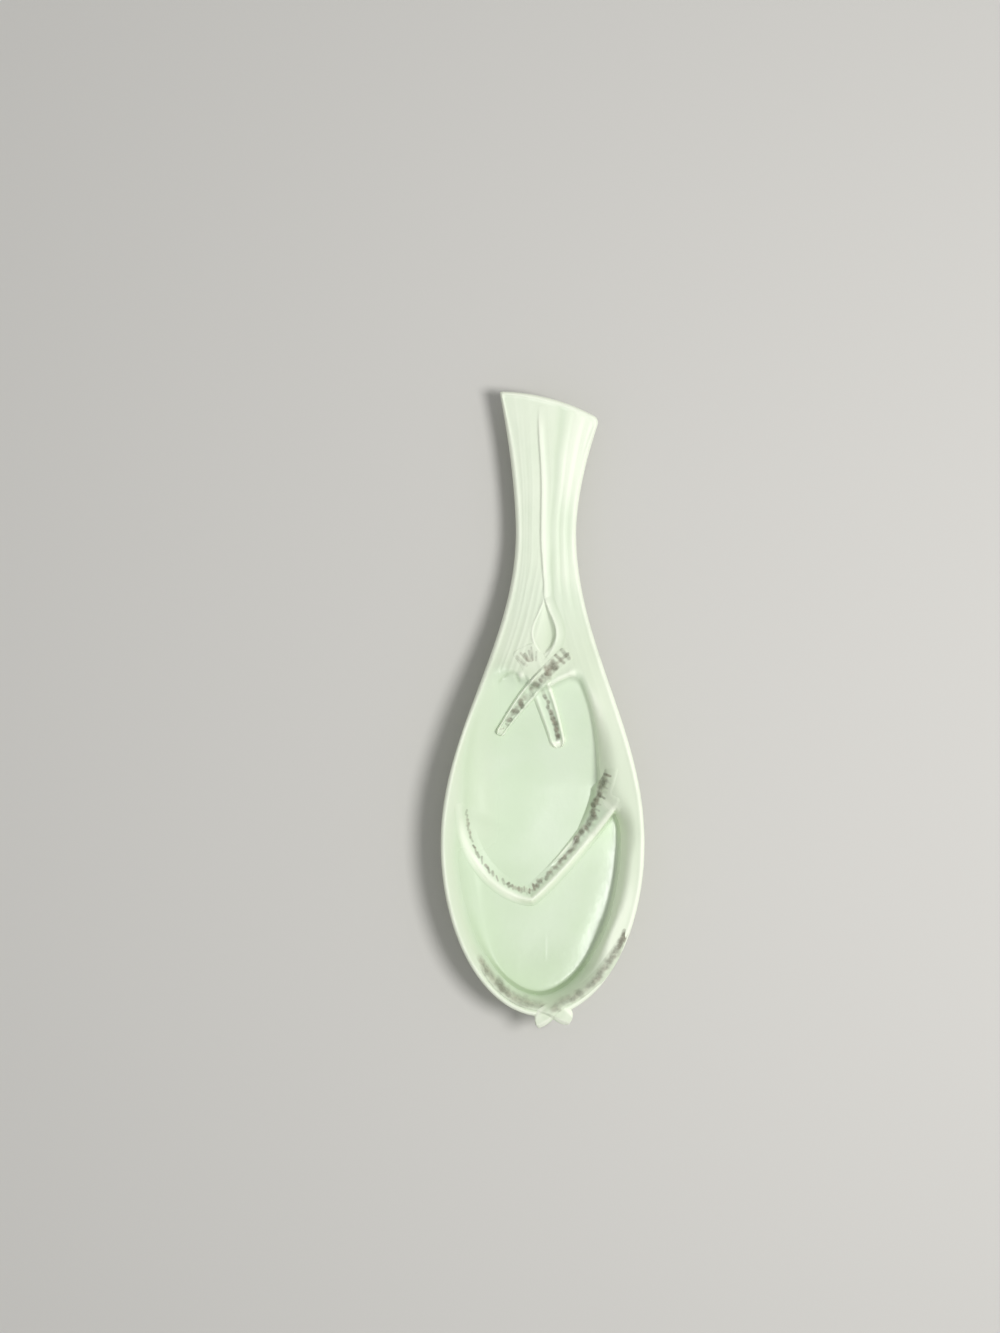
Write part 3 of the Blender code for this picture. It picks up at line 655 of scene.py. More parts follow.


# glaze on the tray, with painted highlights, painted light and painted shade: strengths from 0 to 1, and
# where they hold
trayGlazeAndLight = {
    "rimLine": (0.7, 0.85),  # white line along the rim, from the edge
    "belowRim": (0.7, 0.4, 0.2, 0.05),  # how it ends under the lip, row by row
    "dryRun": 4.0,
    "dryFillet": (0.5, -14.0, -8.0),
    "dryFilletY": (-58.0, 14.0),
    "stalkGloss": (0.7, 20.0, 30.0),
    "reliefRun": 3.0,  # the fine relief ends this close to a well
    "ridge": 0.7,
    "ridgeHeight": 0.6,  # mm at which it is whitest
    "skin": 0.20,
    "skinRun": 9.0,
    "headSkin": (0.16, -35.0, 40.0),
    # painted light: whitens the shaded right wall near its foot, below the head
    "rightWallLight": (0.7, 1.9, 2.5),
    "rightWallHead": (14.0, -14.0),
    "stripeHighlight": (0.4, 5.8, 2.2),  # painted highlight: a pale stripe up the lower well's right wall
    "stripeY": (-56.0, -18.0),
    "stalk": (0.20, 30.0, 40.0),
    "rightSide": 0.22,  # painted shade: the stalk's right side is less white, except far right on the handle
    "rightSideAcross": (-0.02, 0.25),
    "rightSideY": (6.0, 16.0),
    # painted sheen far right on the handle's flare
    "farRightSheen": 0.35,
    "farRightAcross": (0.25, 0.3),
    "farRightY": (70.0, 22.0),
    # painted highlight on a fold of the neck's right side
    "neckHighlight": (0.5, 54.0, 9.0),
    "hollowLoss": 0.3,
    "hollowPool": 0.1,
    "foot": (0.28, 0.6, 1.2),  # pooled glaze and painted shade along the foot of the walls, most on the shaded right, least at the head
    "footHead": (0.8, -14.0, 20.0),
    "footLeft": (0.35, 24.0, -8.0),
    "endLine": (0.9, 0.4, 0.5),
    "endLineY": (-92.0, -12.0),
    "floor": 0.09,
    "floorRun": 2.0,
    # painted shade: the floors darken towards the bowl's end
    "lowFloor": (0.16, -54.0, -10.0),
    "endFloor": (0.22, -82.0, -16.0),
    "groove": 0.6,
    "grooveDepth": 0.5,
}


def topDry(x, y):  # the skin round the wells and the left fillet are duller than the wells' floors
    fillet = part(x, *trayGlazeAndLight["dryFillet"]) * fade(y, *trayGlazeAndLight["dryFilletY"])
    skin = np.maximum(smooth(wellAway(x, y) / trayGlazeAndLight["dryRun"]), fillet)
    return skin * (1.0 - part(y, *trayGlazeAndLight["stalkGloss"]))


def topRelief(x, y, away):
    return skinDetail(x, y) * smooth(away / trayGlazeAndLight["reliefRun"]) + headDetail(x, y)


def topThinAndSheen(x, y):  # where the glaze breaks white over raised details and parts of the stalk, with painted light on the shaded right wall, painted highlights on the lower well's right wall and the handle's right, and painted shade on the stalk's right side
    away = wellAway(x, y)
    raised = np.clip(topRelief(x, y, away) / trayGlazeAndLight["ridgeHeight"], 0.0, 1.0)
    skin = (trayGlazeAndLight["skin"] + part(y, *trayGlazeAndLight["headSkin"])) * smooth(away / trayGlazeAndLight["skinRun"])
    onWall = fade(x, *lowWall["x"]) * fade(y, *lowWall["end"]) * fade(y, *trayGlazeAndLight["rightWallHead"])
    # painted light on the shaded right wall, then a painted highlight up the lower well's right wall
    skin = skin + spot(away, *trayGlazeAndLight["rightWallLight"]) * onWall
    skin = skin + spot(away, *trayGlazeAndLight["stripeHighlight"]) * lowRight(x, y) * fade(y, *trayGlazeAndLight["stripeY"])
    share = acrossShare(x, y)
    rightSide = fade(share, *trayGlazeAndLight["rightSideAcross"]) * fade(y, *trayGlazeAndLight["rightSideY"])
    farRightSheen = fade(y, *trayGlazeAndLight["farRightY"]) + spot(y, *trayGlazeAndLight["neckHighlight"])
    farRightSheen = farRightSheen * fade(share, *trayGlazeAndLight["farRightAcross"])
    skin = skin + part(y, *trayGlazeAndLight["stalk"])
    # painted shade on the stalk's right side, and a painted sheen far right
    skin = skin - trayGlazeAndLight["rightSide"] * rightSide * (1.0 - farRightSheen) + trayGlazeAndLight["farRightSheen"] * farRightSheen
    skin = np.maximum(skin, 0.0) * (1.0 - trayGlazeAndLight["hollowLoss"] * hollowShare(x, y))
    return trayGlazeAndLight["ridge"] * raised + skin


def topPoolAndShade(x, y):  # where glaze gathers on the floors, in the almond and in grooves, with pooled glaze and painted shade at the foot of the walls, a dark line at the wall's foot at the bowl's end, and painted shade darkening the floors towards the bowl's end
    away = wellAway(x, y)
    foot = spot(away, *trayGlazeAndLight["foot"]) * (1.0 - part(y, *trayGlazeAndLight["footHead"]))
    foot = foot * grow(x, *trayGlazeAndLight["footLeft"]) * (1.0 - lowRight(x, y))
    groove = np.clip(-topRelief(x, y, away) / trayGlazeAndLight["grooveDepth"], 0.0, 1.0)
    line = spot(away, *trayGlazeAndLight["endLine"]) * fade(y, *trayGlazeAndLight["endLineY"])
    # glaze on the floors, with painted shade towards the bowl's end
    floorPoolAndShade = trayGlazeAndLight["floor"] + part(y, *trayGlazeAndLight["lowFloor"]) + part(y, *trayGlazeAndLight["endFloor"])
    floorPoolAndShade = floorPoolAndShade * smooth(1.0 - away / trayGlazeAndLight["floorRun"])
    hollow = trayGlazeAndLight["hollowPool"] * hollowShare(x, y)
    return foot + line + floorPoolAndShade + hollow + trayGlazeAndLight["groove"] * groove


def trayGrid():
    # a profile carried round the edge: spine, wells and skin, rim round, lip, hull, spine again
    edge, facing = trayStations()
    reach = np.hypot(*(facing - edge).T)
    rimAt = tray["rimRound"] / reach
    rows = tray["rows"]
    u = np.linspace(1.0, 0.0, rows["top"])[:, None]
    topShare = rimAt + (1.0 - rimAt) * (0.45 * u + 0.55 * u ** 2)  # rows lie closer towards the rim
    turn = np.linspace(0.0, np.pi / 2, rows["rim"])[1:, None]
    share = np.concatenate([topShare, rimAt * (1.0 - np.sin(turn))])
    x, y = wayIn(edge, facing, share)
    inward = share * reach
    z = trayTop(x, y) + spot(inward, *tray["rimBead"])
    z[len(topShare):] -= tray["rimRound"] * (1.0 - np.cos(turn))
    lipZ = z[-1] - tray["lip"]
    run = loopMean(np.minimum(floorStart(edge, facing) * reach + tray["wall"], reach), tray["hullEase"])
    run = np.minimum(run, reach)
    lipDown = np.linspace(0.0, 1.0, rows["lip"])[1:, None]
    step = np.linspace(0.0, 1.0, rows["hull"])[1:, None] ** 1.3  # rows lie closer towards the lip
    inner = np.linspace(0.0, 1.0, rows["base"])[1:, None]
    hullShare = np.concatenate([0.0 * lipDown * run, step * run, run + inner * (reach - run)]) / reach
    hullX, hullY = wayIn(edge, facing, hullShare)
    base = baseHeight(hullY)
    fullStep = np.concatenate([0.0 * lipDown, step, 0.0 * inner + 1.0])
    hullZ = base + (lipZ - base) * (1.0 - fullStep) ** tray["hullFullness"]
    hullZ[:len(lipDown)] = z[-1] - tray["lip"] * lipDown
    grid = np.concatenate([np.stack([x, y, z], axis=-1), np.stack([hullX, hullY, hullZ], axis=-1)])
    for softening in range(tray["softenings"]):  # of the turn from the lip into the hull
        soft = (grid[:-2] + 2 * grid[1:-1] + grid[2:]) / 4
        grid[len(z) + 1:-rows["base"]] = soft[len(z):1 - rows["base"]]
    breaking = 0.75 + 0.14 * np.sin(y / 5.3 + x / 3.1) + 0.10 * np.sin(y / 2.3 - x / 1.9)
    # the rim's white glaze line, plus the tray's thin glaze, painted highlights and painted light
    thinAndSheenTop = breaking * hillAt(inward, *trayGlazeAndLight["rimLine"]) + topThinAndSheen(x, y)
    bare = np.zeros_like(hullZ)
    thinAndSheenHull = bare.copy()
    thinAndSheenHull[:len(trayGlazeAndLight["belowRim"])] = thinAndSheenTop[-1] * np.array(trayGlazeAndLight["belowRim"])[:, None]
    thinAndSheen = np.concatenate([thinAndSheenTop, thinAndSheenHull])
    # pooled glaze and painted shade on the top, none on the hull
    poolAndShade = np.concatenate([topPoolAndShade(x, y), bare])
    dry = np.concatenate([topDry(x, y), bare + 1.0])
    return grid, {"thinAndSheen": np.clip(thinAndSheen, 0.0, 1.0), "poolAndShade": np.clip(poolAndShade, 0.0, 1.0), "dry": dry}


trayShape, trayMarks = trayGrid()
addPiece("tray_body", trayShape, trayMarks, celadonGlaze, ["tray"])


# Strips of clay laid along a path. A strip's bed says where its border starts (1 is its edge), how far the
# border dips and the belly sinks under the ground, how high its two ends lie and how steeply they close

def stripPlan(path, offsets, reach):  # points across a path, to the right of the way it runs
    way = pathWay(path, reach)
    return path[:, :1] + way[:, 1:] * offsets, path[:, 1:] - way[:, :1] * offsets


def closedEnds(along, first, last):  # quarter circles at both ends of a strip
    return roundedEnd(along, first) * roundedEnd(along[-1, 0] - along, last)


def dipped(height, q, bed):  # the border sinks under the surface that the strip lies on
    ease = fade(np.abs(q), bed["border"], 1.0 - bed["border"])
    return height * (1.0 - ease) - bed["dip"] * ease


def stripGrid(x, y, q, ground, height, ends, bed):
    # loops across the strip: its top, then a half-ellipse back underneath. ends closes both tips on one point
    sink, dip, pole = bed["sink"], bed["dip"], bed["pole"]
    ends = smooth(ends * bed["steep"])
    top = ground + pole + (height - pole) * ends
    belly = -dip - (sink - dip) * np.sqrt(np.clip(1.0 - q ** 2, 0.0, 1.0))
    below = ground + pole + (belly - pole) * ends
    upper = np.stack([x, y, top], axis=-1)
    lower = np.stack([x, y, below], axis=-1)[:, -2:0:-1]
    return np.concatenate([upper, lower], axis=1)


def loopMarks(marks):  # the underside of a strip carries no marks
    return {name: np.concatenate([top, 0.0 * top[:, -2:0:-1]], axis=1) for name, top in marks.items()}


def overTray(own, under):  # the stronger of a strip's mark and the tray's
    return np.clip(np.maximum(own, under), 0.0, 1.0)


# Brush strokes

upright = np.pi / 2  # turn of a stroke that lies across its strip
strokeEdge = (1.9, -1.5)  # in half widths: where a stroke ends, and how softly


def uneven(rng, start, end, low, high):  # places along a path, unevenly spaced
    steps = np.cumsum(rng.uniform(low, high, int((end - start) / low)))
    return start + steps[steps < end - start]


def draws(rng, count, ranges, base, scale):  # for each range, a base plus a scale times random draws
    rows = zip(base, scale, ranges)
    return [start + factor * rng.uniform(low, high, count) for start, factor, (low, high) in rows]


def strokeCover(along, across, marks):
    # each mark is a soft capsule: centre along and across, half length, half width, turn, strength
    cover = np.ones(np.broadcast(along, across).shape)
    for markAlong, markAcross, half, width, turn, strength in marks:
        u = (along - markAlong) * np.cos(turn) + (across - markAcross) * np.sin(turn)
        v = (across - markAcross) * np.cos(turn) - (along - markAlong) * np.sin(turn)
        gap = np.hypot(np.maximum(np.abs(u) - half, 0.0), v) / width
        cover = cover * (1.0 - strength * fade(gap, *strokeEdge))
    return 1.0 - cover


# The leaf edge that parts the wells, with broken brush strokes up its inner side

divider = {
    "left": (-30.4, 9.5),  # ends and tip: x, and rise above the widest line
    "tip": (-4.0, -22.0),
    "right": (27.0, 14.0),
    "leftRun": (-0.7, 6.0),  # how far the left end goes on up the left wall
    "leftFullness": 1.8,
    "rightFullness": 1.1,
    "wallRun": (4.6, 13.7),  # how far the brushed band goes on up the right wall
    "wallBend": (0.55, 0.38),  # shares of that run at which it bends
    "endRound": (3.0, 2.5),
    "turnReach": 3.0,  # past the skirt, over which its direction is averaged
    "height": 2.6,
    "leftGrowth": (0.3, 20.0),  # share of the height at each end, and the way over which it grows
    "rightGrowth": (0.25, 22.0),
    "tipGrowth": (0.35, 10.0, -8.0),
    "crestStop": (-2.0, 2.6),  # from the crest's right end
    "blob": (0.35, 1.2, 1.7),  # rounded end of the crest
    "inner": 1.5,  # width of the crest's bell to each side
    "outer": 1.7,
    "skirt": 2.9,
    "skirtEnd": (0.3, 7.0, -6.0),
    "shelf": 0.9,  # carries the brush work
    "shelfLow": 0.25,
    "underCrest": 0.75,  # share of the shelf that the crest takes up
    "shelfLeft": (8.0, 18.0),
    "shelfRight": (0.0, 24.0),
    "shelfOuter": (-0.2, 1.4),
    "shelfInner": (-1.0, 0.8),
    "edge": 0.6,  # fine raised line along the shelf, past the tip
    "edgeAcross": (-4.4, 0.6),
    "edgeAlong": (22.0, 6.0),
    # the wedge's height at places on the way to the crest's right end and past it
    "wedge": (1.0, 2.5, 6.0, 10.2, 11.5),
    "wedgeAt": (-22.0, -14.0, -6.0, 2.0, 12.0),
    "wedgeStart": (8.0, 12.0),  # from the tip
    "wedgeStop": (0.0, 3.0),  # from the band's end
    "wedgePower": 1.7,
    "wedgeOuter": (0.9, 1.5),
    "wedgeFoot": 0.6,  # above the floor
    "wedgeBlend": 0.8,
    "ridge": 0.8,  # the crest on top of the wedge
    "buriedAlong": (-2.0, -3.0),  # past the crest's end the band's outer half goes under the wall
    "buriedAcross": (-4.0, 2.0),
    "bareCrest": 0.9,  # how little of the brush work lies on the crest
    "white": (0.9, 0.3, 1.7),  # on the crest
    "whiteGrowth": (0.3, 16.0),
    "whiteEdge": 0.8,
    # darker lines: along the crest's outer foot, and along the wedge's steep inner foot
    "poolAndShade": (0.2, 2.5, 0.5),
    "wedgeFootLine": (0.6, -0.8, 0.14),
    "bed": {"border": 0.84, "dip": 0.25, "sink": 0.9, "pole": -0.3, "steep": 1.0},
    # places and values from the band's start, from the tip and from the crest's right end:
    # the band's width to the inner side, and where the brush work runs on it
    "bandWidth": (((0.0, 2.6), (14.0, 5.4)), ((0.0, 6.0), (18.0, 5.4)),
                  ((-16.0, 6.0), (-8.0, 8.2), (2.0, 10.8), (6.0, 9.8), (10.0, 9.2))),
    "bandMiddle": (((0.0, 1.9),), ((-16.0, 2.2), (0.0, 3.2), (10.0, 2.7), (21.0, 2.4)),
                   ((-9.0, 4.2), (0.0, 7.0), (30.0, 7.2))),
    # random draws of each kind of stroke: place across, half length, half width, turn, strength
    "line": ((-0.5, 0.4), (0.3, 1.5), (0.5, 0.9), (-0.5, 0.4), (0.4, 0.85)),
    "bars": ((0.5, 1.1), (0.4, 1.2), (0.4, 0.75), (-0.5, 0.5), (0.2, 0.65)),
    "teeth": ((-0.5, 0.5), (0.3, 1.0), (0.4, 0.75), (-0.9, 0.9), (0.4, 0.9)),
    "dashes": ((-0.3, 0.3), (0.4, 1.4), (0.3, 0.55), (-0.3, 0.6), (0.5, 0.95)),
    "spacing": {"line": (1.5, 3.2), "bars": (1.8, 3.6), "teeth": (0.9, 1.9), "dashes": (1.4, 3.2)},
    "hook": (-4.2, 0.7, 1.0, 0.45, upright, 0.8),  # one stroke, from the band's end and middle
    "stations": 460,
    "across": 60,
    "seed": 11,
}


def quarterOval(start, end, fullness):  # leaves its start along y. 1 is straight, 2 an ellipse
    turn = np.linspace(0.0, np.pi / 2, 300)
    x = end[0] + (start[0] - end[0]) * np.cos(turn) ** (2 / fullness)
    y = start[1] + (end[1] - start[1]) * np.sin(turn) ** (2 / fullness)
    return np.stack([x, y], axis=1)


def alongBand(along, table, tipAt, crestEnd):
    rows = [(start + place, value) for start, pairs in zip((0.0, tipAt, crestEnd), table)
            for place, value in pairs]
    return np.interp(along, *np.array(rows).T)


def dividerMarks(total, tipAt, crestEnd):
    # pieces of a heavy broken line, bars from it towards the crest, small teeth round the tip,
    # faint dashes at left and a hook at the end
    rng = np.random.default_rng(divider["seed"])

    def scatter(kind, start, end):  # places of a kind of stroke, and the band's middle there
        places = uneven(rng, start, end, *divider["spacing"][kind])
        return places, -alongBand(places, divider["bandMiddle"], tipAt, crestEnd)

    def strokes(kind, places, middle, turn, scale):
        return np.array([places, *draws(rng, len(places), divider[kind], (middle, 0, 0, turn, 0), scale)])

    plain = (1, 1, 1, 1, 1)
    places, middle = scatter("line", tipAt + 4.0, total - 4.0)
    size = np.interp(places, [tipAt + 4.0, tipAt + 24.0, total], [0.8, 1.25, 1.35])
    force = np.interp(places, [tipAt + 4.0, tipAt + 14.0, tipAt + 24.0, total], [0.85, 0.8, 0.95, 0.95])
    line = strokes("line", places, middle, 0, (1, size, size, 1, force))
    places, middle = scatter("bars", tipAt + 2.0, total - 5.0)
    size = np.interp(places, [tipAt + 2.0, tipAt + 24.0, total], [0.7, 1.3, 1.4])
    bars = strokes("bars", places, middle, upright, (size, size, 1, 1, 1))
    teeth = strokes("teeth", *scatter("teeth", tipAt - 13.0, tipAt + 7.0), upright, plain)
    dashes = strokes("dashes", *scatter("dashes", 2.0, tipAt - 12.0), 0, plain)
    hook = np.array(divider["hook"])[:, None]
    hook[:2, 0] += total, -alongBand(total, divider["bandMiddle"], tipAt, crestEnd)
    return np.concatenate([line, bars, teeth, dashes, hook], axis=1).T


def makeDivider():
    left, tip, right = [(x, yWide + rise) for x, rise in (divider["left"], divider["tip"], divider["right"])]
    leftStart = np.array([left]) + np.array([divider["leftRun"]])
    leftLeg = np.concatenate([leftStart, quarterOval(left, tip, divider["leftFullness"])])
    rightLeg = quarterOval(right, tip, divider["rightFullness"])[::-1]
    run, bent = np.array(divider["wallRun"]), np.array(divider["wallBend"])
    upWall = bend(right, right + bent * run, right + run, 20)
    tipAt = travelAlong(leftLeg)[-1]
    crestEnd = tipAt + travelAlong(rightLeg)[-1]
    path = evenPath(np.concatenate([leftLeg, rightLeg[1:], upWall[1:]]), divider["stations"])
    along = travelAlong(path)[:, None]
    total = along[-1, 0]
    pastTip, toEnd = along - tipAt, crestEnd - along
    ends = closedEnds(along, *divider["endRound"])
    q = np.linspace(-1.0, 1.0, divider["across"])
    band = alongBand(along, divider["bandWidth"], tipAt, crestEnd)
    skirt = divider["skirt"] * grow(toEnd, *divider["skirtEnd"])
    offsets = np.where(q < 0, band * q, skirt * q) * ends
    x, y = stripPlan(path, offsets, divider["skirt"] + divider["turnReach"])
    # crest, a bell steeper inside, on a low shelf that carries the brush work
    onCrest = fade(toEnd, *divider["crestStop"])
    crestHeight = divider["height"] * grow(pastTip, *divider["tipGrowth"])
    crestHeight = crestHeight * grow(along, *divider["leftGrowth"]) * grow(toEnd, *divider["rightGrowth"])
    crestHeight = (crestHeight + spot(toEnd, *divider["blob"])) * onCrest
    crest = np.where(offsets < 0, hill(offsets, divider["inner"]), hill(offsets, divider["outer"]))
    shelfOn = fade(along, *divider["shelfLeft"]) * fade(toEnd, *divider["shelfRight"])
    shelf = divider["shelfLow"] + (divider["shelf"] - divider["shelfLow"]) * shelfOn
    shelf = shelf * (1.0 - fade(offsets, *divider["shelfOuter"])) * fade(q, *divider["shelfInner"])
    edge = hillAt(offsets, *divider["edgeAcross"]) * hillAt(pastTip, *divider["edgeAlong"])
    height = crestHeight * crest + shelf * (1.0 - divider["underCrest"] * crest * onCrest)
    # towards its right end a wedge, steep at its foot, fills the corner between the two wells
    ground = trayTop(x, y)
    wedgeOn = fade(pastTip, *divider["wedgeStart"]) * fade(total - along, *divider["wedgeStop"])
    level = np.interp(along, crestEnd + np.array(divider["wedgeAt"]), divider["wedge"])
    outer = 1.0 - fade(offsets, *divider["wedgeOuter"])
    side = np.where(q < 0, 1.0 - np.abs(q) ** divider["wedgePower"], outer)
    wedge = np.minimum(ground[:, :1], floorZ + divider["wedgeFoot"]) + level * side - ground
    ridge = divider["ridge"] * crest * onCrest
    raised = ridge - softMin(-wedge, ridge - height, divider["wedgeBlend"])
    height = height + wedgeOn * (raised - height) + divider["edge"] * edge
    buried = fade(toEnd, *divider["buriedAlong"]) * fade(offsets, *divider["buriedAcross"])
    height = height * (1.0 - buried) + divider["bed"]["pole"] * buried
    height = dipped(height, q, divider["bed"])
    grid = stripGrid(x, y, q, ground, height, ends, divider["bed"])
    brush = strokeCover(along, offsets, dividerMarks(total, tipAt, crestEnd))
    brush = brush * (1.0 - divider["bareCrest"] * crest)
    thinAndSheen = spot(offsets, *divider["white"]) * onCrest * grow(along, *divider["whiteGrowth"])
    thinAndSheen = thinAndSheen + divider["whiteEdge"] * edge
    poolAndShade = spot(offsets, *divider["poolAndShade"]) * onCrest + spot(q, *divider["wedgeFootLine"]) * wedgeOn
    marks = {"brush": brush, "thinAndSheen": overTray(thinAndSheen, topThinAndSheen(x, y)), "poolAndShade": overTray(poolAndShade, topPoolAndShade(x, y)),
             "dry": topDry(x, y)}
    addPiece("leaf_divider", grid, loopMarks(marks), brushedGlaze, ["well_divider"])


makeDivider()


# Two leaf tips that cross at the head of the upper well

cross = np.array([upperWell["x"] / 2 + 0.2, yHead - 3.3])
longLeaf = {
    "width": 6.6, "above": 18.2, "below": 23.2, "angle": 50.0, "bow": 1.6, "point": 0.6, "head": 1.05,
    "edges": (0.5, 0.75), "paleTip": 0.4, "relief": 1.7, "pressed": 0.0,
    "stations": 230, "across": 44, "seed": 21,
    # daubs: start and stop along the leaf, spacing, then draws of place across, half length, half width,
    # turn and strength. The first three are times the leaf's half width
    "daubs": (7.0, -1.5), "spacing": (0.6, 1.6), "scale": (0.25, 0.3, 0.24),
    "draws": ((-1.0, 1.0), (0.3, 1.3), (0.6, 1.5), (-0.8, 0.8), (0.1, 0.75)),
    # strokes over the head: place along and across, half length, half width, turn, strength
    "strokes": ((1.8, 0.3, 2.1, 0.75, 1.6, 0.55), (4.6, 0.6, 2.3, 0.6, 1.5, 0.65),
                (3.4, -0.2, 2.6, 0.55, 0.05, 0.5), (7.2, 0.3, 1.4, 0.8, 1.7, 0.6),
                (10.5, 0.1, 1.8, 0.5, 0.1, 0.55)),
}
shortLeaf = {
    "width": 8.7, "above": 17.0, "below": 24.0, "angle": 109.6, "bow": -1.1, "point": 0.78, "head": 1.25,
    "edges": (0.85, 0.45), "paleTip": 1.0, "relief": 1.6, "pressed": 0.65,
    "stations": 220, "across": 46, "seed": 22,
    # the fan of strokes over the head, then the broken stroke from the crossing to the point
    "fan": 7, "fanSpread": (-2.8, 3.6), "fanAt": 4.2, "fanArch": 0.25, "fanTurn": -0.15,
    "fanForce": (0.35, 0.35, 1.8), "fanWaver": (0.3, 0.8),
    "fanDraws": ((1.3, 2.6), (0.35, 0.65), (-0.08, 0.08), (0.8, 1.2)),
    "line": (2.5, -3.5, 2.2), "lineAcross": -0.7, "lineForce": (0.5, 0.95),
    "lineDraws": ((-0.5, 0.5), (0.5, 1.4), (0.5, 1.0), (-0.4, 0.4), (0.7, 1.0)),
}
leafForm = {
    "headRound": 1.6,
    "headWide": 9.0,  # way over which the wider head narrows
    "taper": 0.5,  # share of the length
    "body": 0.42,
    "bodyEdge": (0.55, 0.4),  # across, as a share of the half width
    "edge": (0.68, 0.22),
    "growth": (0.14, 9.0, -9.0),  # from the crossing
    "pressSpread": 4.0,
    "tip": (0.35, 1.6, 1.3),  # from the point
    "tipEdge": (0.5, 0.4),
    "bed": {"border": 0.86, "dip": 0.2, "sink": 0.8, "pole": -0.25, "steep": 1.2},
    "whiteEdge": (0.7, 0.2),
    "whiteFrom": (-7.0, 7.0),
    "whiteTip": (1.5, 1.5),
    "bareEdge": 0.85,
    "poolAndShade": (0.3, 1.0, 0.12),
    "overEdge": (1.15, -0.3),  # how the upper leaf climbs over the lower one
    "overLift": 0.75,
}


def leafPath(leaf):  # a shallow arc through the crossing, from its head down to its point
    way = np.array([np.cos(np.radians(leaf["angle"])), np.sin(np.radians(leaf["angle"]))])
    start, end = cross + leaf["above"] * way, cross - leaf["below"] * way
    share = np.linspace(0.0, 1.0, 60)[:, None]
    chord = end - start
    side = np.array([chord[1], -chord[0]]) / np.hypot(*chord)
    return evenPath(start + share * chord + 4 * leaf["bow"] * share * (1 - share) * side, leaf["stations"])


def leafHalf(leaf, along):  # half width: wider at the head, tapering to the point over the second half
    total = leaf["above"] + leaf["below"]
    head = 1.0 + (leaf["head"] - 1.0) * (1.0 - smooth(along / leafForm["headWide"]))
    return leaf["width"] / 2 * head * grow(total - along, leaf["point"], leafForm["taper"] * total)


def leafHeight(leaf, along, across):
    # two rounded edges with a trough between, low at the head and pressed down under the other leaf
    q = np.abs(across / leafHalf(leaf, along))
    body = leafForm["body"] * (1.0 - fade(q, *leafForm["bodyEdge"]))
    edges = np.where(across < 0, *leaf["edges"]) * hillAt(q, *leafForm["edge"])
    pastCross = along - leaf["above"]
    grown = grow(pastCross, *leafForm["growth"])
    grown = grown * (1.0 - leaf["pressed"] * hill(pastCross, leafForm["pressSpread"]))
    tip = spot(leaf["above"] + leaf["below"] - along, *leafForm["tip"])
    tip = tip * (1.0 - fade(q, *leafForm["tipEdge"]))
    return dipped(leaf["relief"] * grown * (body + edges + tip), q, leafForm["bed"])


def makeLeaf(name, leaf, ground, strokes, node):
    path = leafPath(leaf)
    along = travelAlong(path)[:, None]
    ends = closedEnds(along, leafForm["headRound"], leaf["width"] * leaf["point"] / 2)
    q = np.linspace(-1.0, 1.0, leaf["across"])
    across = leafHalf(leaf, along) * q
    x, y = stripPlan(path, across * ends, leaf["width"] / 2)
    height = leafHeight(leaf, along, across)
    grid = stripGrid(x, y, q, ground(x, y), height, ends, leafForm["bed"])
    edges = np.where(q < 0, *leaf["edges"]) * hillAt(np.abs(q), *leafForm["whiteEdge"])
    edges = edges * fade(along - leaf["above"], *leafForm["whiteFrom"])
    tip = leaf["paleTip"] * hillAt(along[-1, 0] - along, *leafForm["whiteTip"])
    brush = strokeCover(along, across, strokes) * (1.0 - leafForm["bareEdge"] * edges) * (1.0 - tip)
    poolAndShade = spot(np.abs(q), *leafForm["poolAndShade"]) + 0.0 * along
    marks = {"brush": brush, "thinAndSheen": overTray(edges + tip, topThinAndSheen(x, y)), "poolAndShade": poolAndShade, "dry": topDry(x, y)}
    addPiece(name, grid, loopMarks(marks), brushedGlaze, [node])


def blockMarks(leaf):  # square daubs down the trough, with longer strokes across the head
    rng = np.random.default_rng(leaf["seed"])
    start, stop = leaf["daubs"]
    along = uneven(rng, start, leaf["above"] + leaf["below"] + stop, *leaf["spacing"])
    half = leafHalf(leaf, along)
    scale = [share * half for share in leaf["scale"]]
    daubs = [along, *draws(rng, len(along), leaf["draws"], (0, 0, 0, upright, 0), (*scale, 1, 1))]
    return np.concatenate([np.array(daubs).T, leaf["strokes"]])


def fanMarks(leaf):  # thin strokes fanned over the head, then one broken stroke down the right of the trough
    rng = np.random.default_rng(leaf["seed"])
    count = leaf["fan"]
    waver, waverAlong = leaf["fanWaver"]
    spread = np.linspace(*leaf["fanSpread"], count) + rng.uniform(-waver, waver, count)
    along = leaf["fanAt"] + leaf["fanArch"] * np.abs(spread) + rng.uniform(-waverAlong, waverAlong, count)
    leastForce, moreForce, width = leaf["fanForce"]
    force = leastForce + moreForce * hill(spread, width)
    fan = draws(rng, count, leaf["fanDraws"], (0, 0, leaf["fanTurn"] * spread, 0), (1, 1, 1, force))
    start, stop, spacing = leaf["line"]
    places = np.arange(leaf["above"] + start, leaf["above"] + leaf["below"] + stop, spacing)
    count = len(places)
    force = np.linspace(*leaf["lineForce"], count)
    line = draws(rng, count, leaf["lineDraws"], (leaf["lineAcross"], 0, 0, 0, 0), (1, 1, 1, 1, force))
    return np.concatenate([np.array([along, spread, *fan]), np.array([places, *line])], axis=1).T


